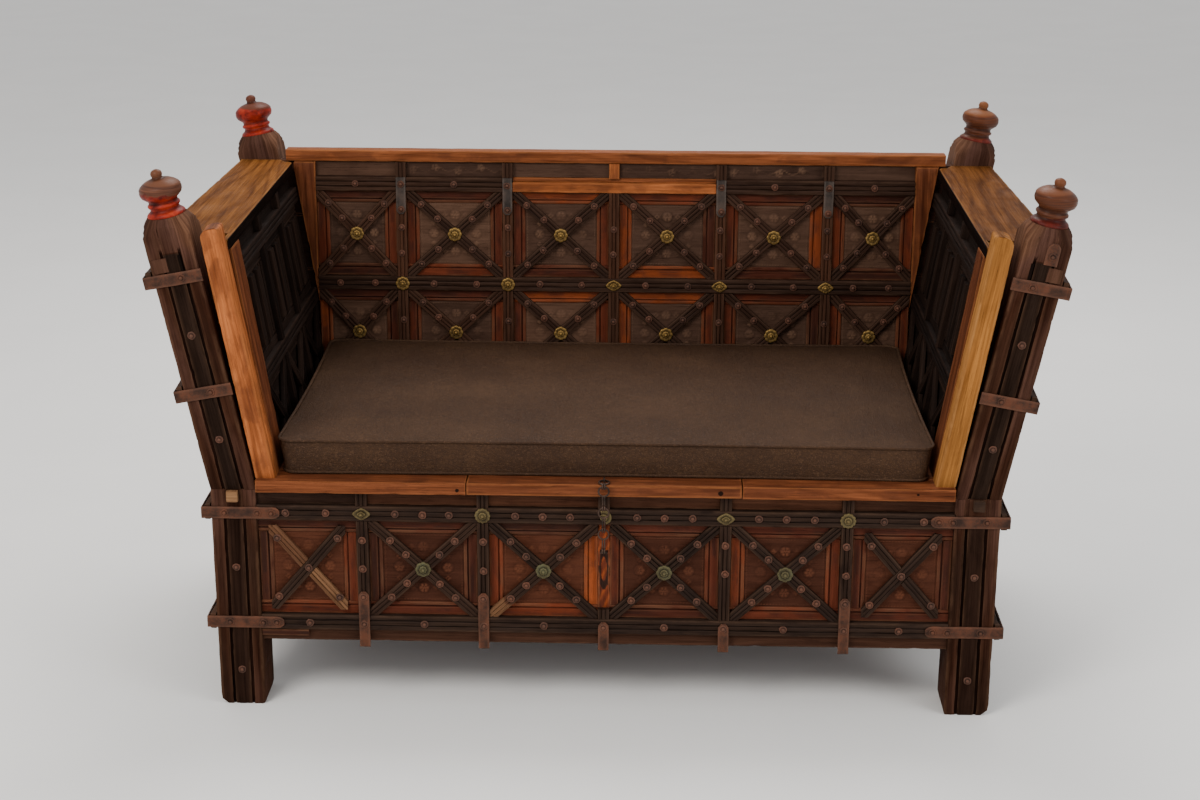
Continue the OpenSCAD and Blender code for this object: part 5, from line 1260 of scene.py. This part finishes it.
# The boards behind the linings take the lowest tones: painted shade.
weathered("arm_boards", wood_shaded, "arm_linings", place=LINING, both=True, tones=(0.0, 0.15), seed=1020,
          step=60)
weathered("arm_stile_boards", wood_orange, "arm_stiles", place=LINING, both=True, axis=2, tones=(0.15, 0.35),
          edge=2, seed=1040)
TRIM_W, TRIM_R, TRIM_TIP = POST_IN - LINING_X - PLANK_GAP, 20, 7
TRIM_UP = (CAP_TOP + TRIM_ABOVE - SEAT_H) / math.cos(math.radians(LINING_LEAN))
TRIM_RISE = TRIM_UP / math.cos(math.radians(END_LEAN))
TRIM = shift(LINING_X, -HALF_D, SEAT_H) @ turn("Y", LINING_LEAN) @ turn("X", END_LEAN)
TRIM_BURIED, TRIM_DARK = 20, 2


def trim_shape(s, length, p, q, wear):
    """Rounds the top: wide on the outer side and tight on the inner one."""
    left = max(0.0, length - s)
    for way, r in ((-1, TRIM_R), (1, TRIM_TIP)):
        if left < r and p * way > 0:
            p = way * min(abs(p), TRIM_W / 2 - r + math.sqrt(r * r - (r - left) ** 2))
    return p, q, wear


for name, side, wood_used, shade in (("left", MIRROR_X, wood_orange, 0.96),
                                     ("right", BOTH[0], wood_gold, 0.62)):
    def trim_tone(p, q, s, shade=shade):
        return shade if s < TRIM_RISE + TRIM_BURIED - TRIM_DARK else 0.1

    piece = Piece(f"trim_{name}", wood_used)
    loft(piece, side @ TRIM, (TRIM_W / 2, 0, -TRIM_BURIED), (TRIM_W / 2, 0, TRIM_RISE),
         slab(TRIM_W, TRIM_D, ease=4, steps=2), tone=trim_tone, seed=1050 + (name == "left"), step=2.5,
         rough=0.6, shape=trim_shape)
    piece.make(f"front_trim_{name}", cuts=[(Vector((0, 0, SEAT_H)), (0, 0, -1), 0)], slot=slot_of(wood_used))
weathered("cap_left", wood_figured, "arm_cap_left", tones=(0.22, 0.26), seed=1070, **CAP_WEAR_AND_SHADE)
weathered("cap_right", wood_figured, "arm_cap_right", tones=(0.12, 0.16), seed=1080, **CAP_WEAR_AND_SHADE)
weathered("corner_fillers", wood_orange, "corner_boards", place=BACK, axis=2, tones=(0.15, 0.42), edge=1.5,
          chip=4, seed=1090, step=12)
weathered("nosing_and_seat", wood_orange, "seat_boards", tones=(0.36, 0.56), edge=2, chip=2.2, seed=1100,
          step=18)
weathered("hatch_boards", wood_orange, "seat_lid", tones=(0.22, 0.4), edge=2, chip=2.2, seed=1120, step=18,
          body="lid")
# Nail holes are flat discs painted dark: painted shade of the holes.
for node, body, holes in (("seat_boards", "frame", ((-270, 446, 3.4), (574, 450, 2.2))),
                          ("seat_lid", "lid", ((214, 447, 4.6),))):
    marks = Piece(f"nail_holes_{body}", wood_shaded)
    face = shift(0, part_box(node)[0].y / MM, 0)
    for x, z, r in holes:
        disc(marks, face, x, z, 0, [(r, -1.5, -0.9), (r, 0.3, -0.9), (r / 2, 0.35, -0.9)], x, segments=12,
             ragged=0.3)
    marks.make(node, body=body, slot="wood_orange")
weathered("hatch_cleats", wood_red, "lid_cleats", axis=1, tones=(0.3, 0.5), seed=1130, body="lid")
weathered("peg_ends", wood_dark, "post_pegs", axis=1, tones=(0.3, 1.0), edge=3, seed=29, step=6)
weathered("rear_boards", wood_dark, "rear_wall", tones=(0.3, 0.7), seed=1150, step=30)
weathered("rear_ledge_boards", wood_dark, "rear_ledges", tones=(0.45, 0.8), seed=1160, step=30)
weathered("seat_back_boards", wood_red, "back_wall", place=BACK, tones=(0.15, 0.35), seed=1170, step=40)
weathered("front_boards", wood_red, "front_wall", tones=(0.15, 0.35), seed=1180, step=60)
weathered("side_boards", wood_dark, "side_walls", place=SIDE, both=True, tones=(0.3, 0.6), seed=1190, step=60)
weathered("floor_boards", wood_red, "chest_floor", tones=(0.3, 0.6), seed=1210, step=60)
weathered("bearer_bars", wood_red, "bearers", axis=1, tones=(0.3, 0.6), seed=1220, step=60)

# Iron and brass
bands = Piece("corner_bands", iron)
ROUND_BAND = [(BAND_OUT + IRON_T, -IRON_T), (BAND_OUT + IRON_T, BAND_LEG)]
for (left, back), place in CORNERS.items():
    mark = left + 2 * back
    for z in (FRONT_LOW, FRONT_RAIL_Z):
        seat = place @ shift(HALF_W, -HALF_D, z)
        iron_strap(bands, seat, [(-BAND_L, -IRON_T), *ROUND_BAND], BAND_H, IRON_T - 0.2,
                   400 + z + 3 * left + 7 * back)
        for x in (-BAND_L + 14, -BAND_L + 40, -26):
            rivet(bands, seat, x, 0, -IRON_T, seed=mark + z)
    for z in BAND_Z:
        seat = place @ POST @ shift(0, -POST_D / 2, z)
        iron_strap(bands, seat, [(-POST_W - 4, -IRON_T), *ROUND_BAND], BAND_H, IRON_T - 0.2,
                   440 + z + 3 * left + 7 * back, ends=(False, False))
        rivet(bands, seat, -POST_W / 2 - 8, 0, -IRON_T, seed=mark + z)
bands.make("post_bands", angle=45, slot="iron")

tabs = Piece("strap_end_irons", iron, iron_grey)
for i, x in enumerate(STRAP_X):
    low = BOX_BOTTOM - TAB_DROP
    high = low + (TAB_L if x < 0 or x > BAY else SHORT_TAB_L)
    iron_strap(tabs, FRONT @ shift(x, 0, 0) @ turn("Y", -90), [(low, -IRON_T), (high, -IRON_T)], TAB_W,
               IRON_T - 0.1, 470 + i, ends=(False, True))
    if x:
        iron_strap(tabs, BACK @ shift(x, 0, 0) @ turn("Y", -90),
                   [(BACK_TAB_Z, -IRON_T), (BACK_TAB_Z + BACK_TAB_L, -IRON_T)], TAB_W, IRON_T - 0.1, 480 + i,
                   slot=1)
PLATE_T, PLATE_LOW, PLATE_TOP, PLATE_W = 1.6, UPPER_POST_L - 58, UPPER_POST_L - 17, 24
plate = POST @ shift(-POST_W / 2 + 11, -POST_D / 2, 0)
iron_strap(tabs, plate @ turn("Y", -90), [(PLATE_LOW, -PLATE_T), (PLATE_TOP, -PLATE_T)], PLATE_W, 2.2, 495,
           ends=(False, True))
rivet(tabs, plate, 0, PLATE_LOW + 16, -PLATE_T, seed=4)
tabs.make("iron_tabs", angle=45, slot="iron")

bosses = Piece("brass_rosettes", brass, brass_green, brass_dull)
FRONT_BOSSES = {-2 * BAY: "eye", -BAY: "round", BAY: "eye", 2 * BAY: "round"}
for x, kind in FRONT_BOSSES.items():
    boss(bosses, FRONT, x, FRONT_RAIL_Z, 0, 500 + x, kind, slot=2)
for x0, x1 in FRONT_BAYS[1:5]:
    boss(bosses, FRONT, (x0 + x1) / 2, sum(FRONT_ROW) / 2, CROSS_BACK, 520 + x0, slot=1)
boss(bosses, FRONT, 0, FRONT_RAIL_Z, 0, 505, "broken", slot=2)
for i, x in enumerate(STRAP_X):
    boss(bosses, BACK, x, BACK_MID, 0, 540 + x, "flower" if i < 2 else "eye")
for x0, x1 in BACK_BAYS:
    for z0, z1 in BACK_ROWS:
        boss(bosses, BACK, (x0 + x1) / 2, (z0 + z1) / 2, CROSS_BACK, 560 + x0 + z0)
bosses.make("brass_bosses", angle=50, slot="brass")

# Camera at the photograph's place
YAW, PITCH, ROLL, FOCAL, PHOTO_W, FILM = 0.028, 0.312, 0.004, 2106.7, 1200, 36.0
ahead = Vector((-math.sin(YAW), math.cos(YAW), 0))
beside = Vector((math.cos(YAW), math.sin(YAW), 0))
view_line = ahead * math.cos(PITCH) - Vector((0, 0, math.sin(PITCH)))
upward = ahead * math.sin(PITCH) + Vector((0, 0, math.cos(PITCH)))
right = beside * math.cos(ROLL) + upward * math.sin(ROLL)
upward = upward * math.cos(ROLL) - beside * math.sin(ROLL)
camera = bpy.data.objects.new("camera", bpy.data.cameras.new("camera"))
camera.data.lens, camera.data.sensor_width = FOCAL / PHOTO_W * FILM, FILM
facing = Matrix((right, upward, -view_line)).transposed().to_4x4()
camera.matrix_world = Matrix.Translation((0.0937, -4.036, 1.793)) @ facing
scene.collection.objects.link(camera)
scene.camera = camera


# Floor, backdrop and light
def stage_material(name, colour):
    net = Net(name)
    grain = net.noise(net.place(), 3, 3, 0.5)
    tones = net.ramp(grain, (0.3, colour), (0.7, tuple(c * 0.97 for c in colour)))
    return net.finish(tones, 0.85, net.bump(grain, 0.02, 0.001))


floor = bpy.data.meshes.new("floor")
floor.from_pydata([(-60, -60, 0), (60, -60, 0), (60, 60, 0), (-60, 60, 0)], [], [(0, 1, 2, 3)])
floor.materials.append(stage_material("stage_floor", (0.8, 0.785, 0.76)))
floor = bpy.data.objects.new("stage_floor", floor)
scene.collection.objects.link(floor)

world = bpy.data.worlds.new("studio")
world.use_nodes = True
scene.world = world
tree = world.node_tree
paths = tree.nodes.new("ShaderNodeLightPath")
shown = tree.nodes.new("ShaderNodeMath")
shown.operation = "MAXIMUM"
tree.links.new(paths.outputs["Is Camera Ray"], shown.inputs[0])
tree.links.new(paths.outputs["Is Transmission Ray"], shown.inputs[1])
back_light, back_seen = tree.nodes["Background"], tree.nodes.new("ShaderNodeBackground")
for ground, colour, strength in ((back_light, (0.99, 0.99, 1, 1), 0.85),
                                 (back_seen, (0.93, 0.92, 0.9, 1), 0.9)):
    ground.inputs["Color"].default_value, ground.inputs["Strength"].default_value = colour, strength
choice = tree.nodes.new("ShaderNodeMixShader")
tree.links.new(shown.outputs[0], choice.inputs[0])
tree.links.new(back_light.outputs[0], choice.inputs[1])
tree.links.new(back_seen.outputs[0], choice.inputs[2])
tree.links.new(choice.outputs[0], tree.nodes["World Output"].inputs["Surface"])


def lamp(name, at, aim, size, watts, colour=(1, 1, 1)):
    light = bpy.data.lights.new(name, "AREA")
    light.shape, light.size, light.energy, light.color = "DISK", size, watts, colour
    made = bpy.data.objects.new(name, light)
    made.location = at
    made.rotation_euler = (Vector(aim) - Vector(at)).to_track_quat("-Z", "Y").to_euler()
    scene.collection.objects.link(made)


lamp("key", (-2.2, -3.2, 3.6), (0, 0, 0.5), 2.2, 160, (1, 0.97, 0.93))
lamp("fill", (3.4, -2.6, 2.2), (0, 0, 0.5), 2.6, 70, (0.97, 0.99, 1))
lamp("top", (0.2, 1.8, 3.8), (0, 0, 0.5), 2.4, 120, (1, 0.98, 0.96))

# CAD pieces that keep their own shape
for name in ("lid_pins", "chain_staple", "lock_staple", *[f"chain_link_{k}" for k in range(1, 5)]):
    nodes[name].data.materials.clear()
    nodes[name].data.materials.append(chain_iron)


# Cushion
WELT_R, CUSHION_CORNER, CUSHION_SIDE, DRAWN_IN, CROWN, CROWN_REACH, FILLED_OUT = 3.0, 26, 55, 7, 12, 150, (5,
                                                                                                           13)
low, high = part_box("seat_cushion")
cushion_mid = (low + high) / 2 / MM
CUSHION_HX, CUSHION_HY = (high.x - low.x) / 2 / MM, (high.y - low.y) / 2 / MM
WELT_LOW = low.z / MM + WELT_R + 0.2
WELT_HIGH = low.z / MM + 3 * WELT_R + CUSHION_SIDE


def drawn_in(x, y, level):
    """Draws a point of the boxing in towards the middle, most of all half way along each side. The ends lie
    against the leaning arms, so the upper edge is longer than the lower one."""
    slack_x, slack_y = DRAWN_IN * (1 - (y / CUSHION_HY) ** 2), DRAWN_IN * (1 - (x / CUSHION_HX) ** 2)
    return x * (1 + (FILLED_OUT[level] - slack_x) / CUSHION_HX), y * (1 - slack_y / CUSHION_HY)


def rounded(hx, hy, radius, step):
    """Points round a rectangle with round corners."""
    points, turns = [], ((1, 1), (-1, 1), (-1, -1), (1, -1))
    for k, (right, far) in enumerate(turns):
        way = math.pi / 2 * k
        cx, cy = (hx - radius) * right, (hy - radius) * far
        points += [(cx + radius * math.cos(way + a * math.pi / 16),
                    cy + radius * math.sin(way + a * math.pi / 16))
                   for a in range(9)]
        nx, ny = [(h - radius) * sign for h, sign in zip((hx, hy), turns[(k + 1) % 4])]
        end = (nx + radius * math.cos(way + math.pi / 2), ny + radius * math.sin(way + math.pi / 2))
        at = points[-1]
        n = max(2, round(math.hypot(end[0] - at[0], end[1] - at[1]) / step))
        points += [(at[0] + (end[0] - at[0]) * i / n, at[1] + (end[1] - at[1]) * i / n) for i in range(1, n)]
    return points


def cushion_form():
    """A closed box with round corners, a little smaller than the finished cushion."""
    ring = rounded(CUSHION_HX - WELT_R - 1, CUSHION_HY - WELT_R - 1, CUSHION_CORNER - WELT_R, 40)
    work = bmesh.new()
    loops = []
    for level, z in enumerate((WELT_LOW, WELT_HIGH)):
        loops.append([work.verts.new((*drawn_in(x, y, level), z)) for x, y in ring])
    n = len(ring)
    for i in range(n):
        work.faces.new((loops[0][i], loops[0][(i + 1) % n], loops[1][(i + 1) % n], loops[1][i]))
    work.faces.new(loops[0])
    work.faces.new(loops[1])
    bmesh.ops.recalc_face_normals(work, faces=work.faces)
    for v in work.verts:
        v.co = Vector((v.co.x + cushion_mid.x, v.co.y + cushion_mid.y, v.co.z)) * MM
    mesh = bpy.data.meshes.new("cushion_form")
    work.to_mesh(mesh)
    work.free()
    return mesh


def applied(made, name):
    mesh = bpy.data.meshes.new_from_object(made.evaluated_get(bpy.context.evaluated_depsgraph_get()))
    mesh.name = name
    return mesh


VOXEL, PRESSURE, FRAMES = 0.0075, 4.0, 20
blown = bpy.data.objects.new("cushion_cover", cushion_form())
scene.collection.objects.link(blown)
remesh = blown.modifiers.new("remesh", "REMESH")
remesh.mode, remesh.voxel_size = "VOXEL", VOXEL
blown.data = applied(blown, "cushion_cover")
blown.modifiers.clear()
start = [v.co / MM for v in blown.data.vertices]


def seam(level, step):
    """A welt's line, seen from above."""
    return [Vector((*drawn_in(x, y, level), 0))
            for x, y in rounded(CUSHION_HX - WELT_R, CUSHION_HY - WELT_R, CUSHION_CORNER, step)]


SEAM_REACH, SEAM_HELD, SEWN_R = 13, 9, 1.4
seam_trees = []
for level in (0, 1):
    line = seam(level, 2)
    tree = KDTree(len(line))
    for i, at in enumerate(line):
        tree.insert(at, i)
    tree.balance()
    seam_trees.append(tree)


def to_seam(at):
    """The way from a point to the nearer welt's line."""
    level = int(at.z > (WELT_LOW + WELT_HIGH) / 2)
    flat = Vector((at.x - cushion_mid.x, at.y - cushion_mid.y, 0))
    way = seam_trees[level].find(flat)[0] - flat
    return way + Vector((0, 0, (WELT_LOW, WELT_HIGH)[level] - at.z))


def ripple(at, scale, layer):
    """Smooth noise over the cushion as it is seen from above."""
    return noise.noise(Vector((at.x * scale, at.y * scale, layer)))


held = blown.vertex_groups.new(name="held")
fixed = [i for i, at in enumerate(start) if to_seam(at).length < SEAM_HELD or at.z < WELT_LOW + 3]
held.add(fixed, 1.0, "REPLACE")
cloth = blown.modifiers.new("cloth", "CLOTH")
cloth.settings.use_pressure = True
cloth.settings.uniform_pressure_force = PRESSURE
cloth.settings.vertex_group_mass = "held"
cloth.settings.effector_weights.gravity = 0
for i in range(1, FRAMES + 1):
    scene.frame_set(i)
moved = [v.co / MM for v in applied(blown, "cushion_blown").vertices]
blown.modifiers.clear()
scene.frame_set(1)
for i, (at, to) in enumerate(zip(start, moved)):
    x, y = (at.x - cushion_mid.x) / CUSHION_HX, (at.y - cushion_mid.y) / CUSHION_HY
    push = to - at
    if at.z > WELT_HIGH - 3:
        rim = min((1 - abs(x)) * CUSHION_HX, (1 - abs(y)) * CUSHION_HY) / CROWN_REACH
        rim = max(0.0, min(1.0, rim))
        cap = CROWN * (1 - (1 - rim) ** 3)
        sag = 2.2 * ripple(at, 0.005, 3) + 0.9 * ripple(at, 0.016, 8)
        pucker = 0.9 * ripple(at, 0.05, 5) * max(0.0, 1 - rim * 3)
        up = min(max(push.z, cap * 0.9), cap) + (sag + pucker) * min(1.0, rim * 6)
        push = Vector((0, 0, up))
    elif at.z > WELT_LOW + 3:
        push.z = 0
        push.length = min(push.length, 2.6)
        push *= 1 + 0.5 * ripple(at, 0.011, at.z * 0.03)
    else:
        push = Vector((0, 0, 0))
    way = to_seam(at)
    sewn = min(1.0, 1.6 * max(0.0, 1 - (way.length / SEAM_REACH) ** 2))
    way *= 1 - SEWN_R / max(way.length, SEWN_R)
    blown.data.vertices[i].co = (at + push * (1 - sewn) + way * sewn) * MM
finer = blown.modifiers.new("finer", "SUBSURF")
finer.levels = finer.render_levels = 1
cover_mesh = applied(blown, "cushion_skin")
bpy.data.objects.remove(blown)
cover_mesh.materials.clear()
cover_mesh.materials.append(hide)
cover = dress(cover_mesh, "cushion_skin", ("seat_cushion",), "cushion", angle=60, slot="hide")

welts = Piece("cushion_welts", hide)
TUBE = 10
for level, z in enumerate((WELT_LOW, WELT_HIGH)):
    path = seam(level, 9)
    points = []
    for i, at in enumerate(path):
        ahead_of = (path[(i + 1) % len(path)] - path[i - 1]).normalized()
        out = Vector((ahead_of.y, -ahead_of.x, 0))
        lift = 0.5 * ripple(at, 0.012, level)
        radius = WELT_R * (1 + 0.07 * ripple(at, 0.06, level + 4))
        for j in range(TUBE):
            a = 2 * math.pi * j / TUBE
            points.append(Vector((cushion_mid.x, cushion_mid.y, z + lift * level)) + at
                          + out * (radius * math.cos(a) - 0.4) + Vector((0, 0, radius * math.sin(a))))
    welts.add(points, tube(len(path), TUBE, closed=True), [0.3] * len(points))
welts.make(body="cushion", angle=70, slot="hide")
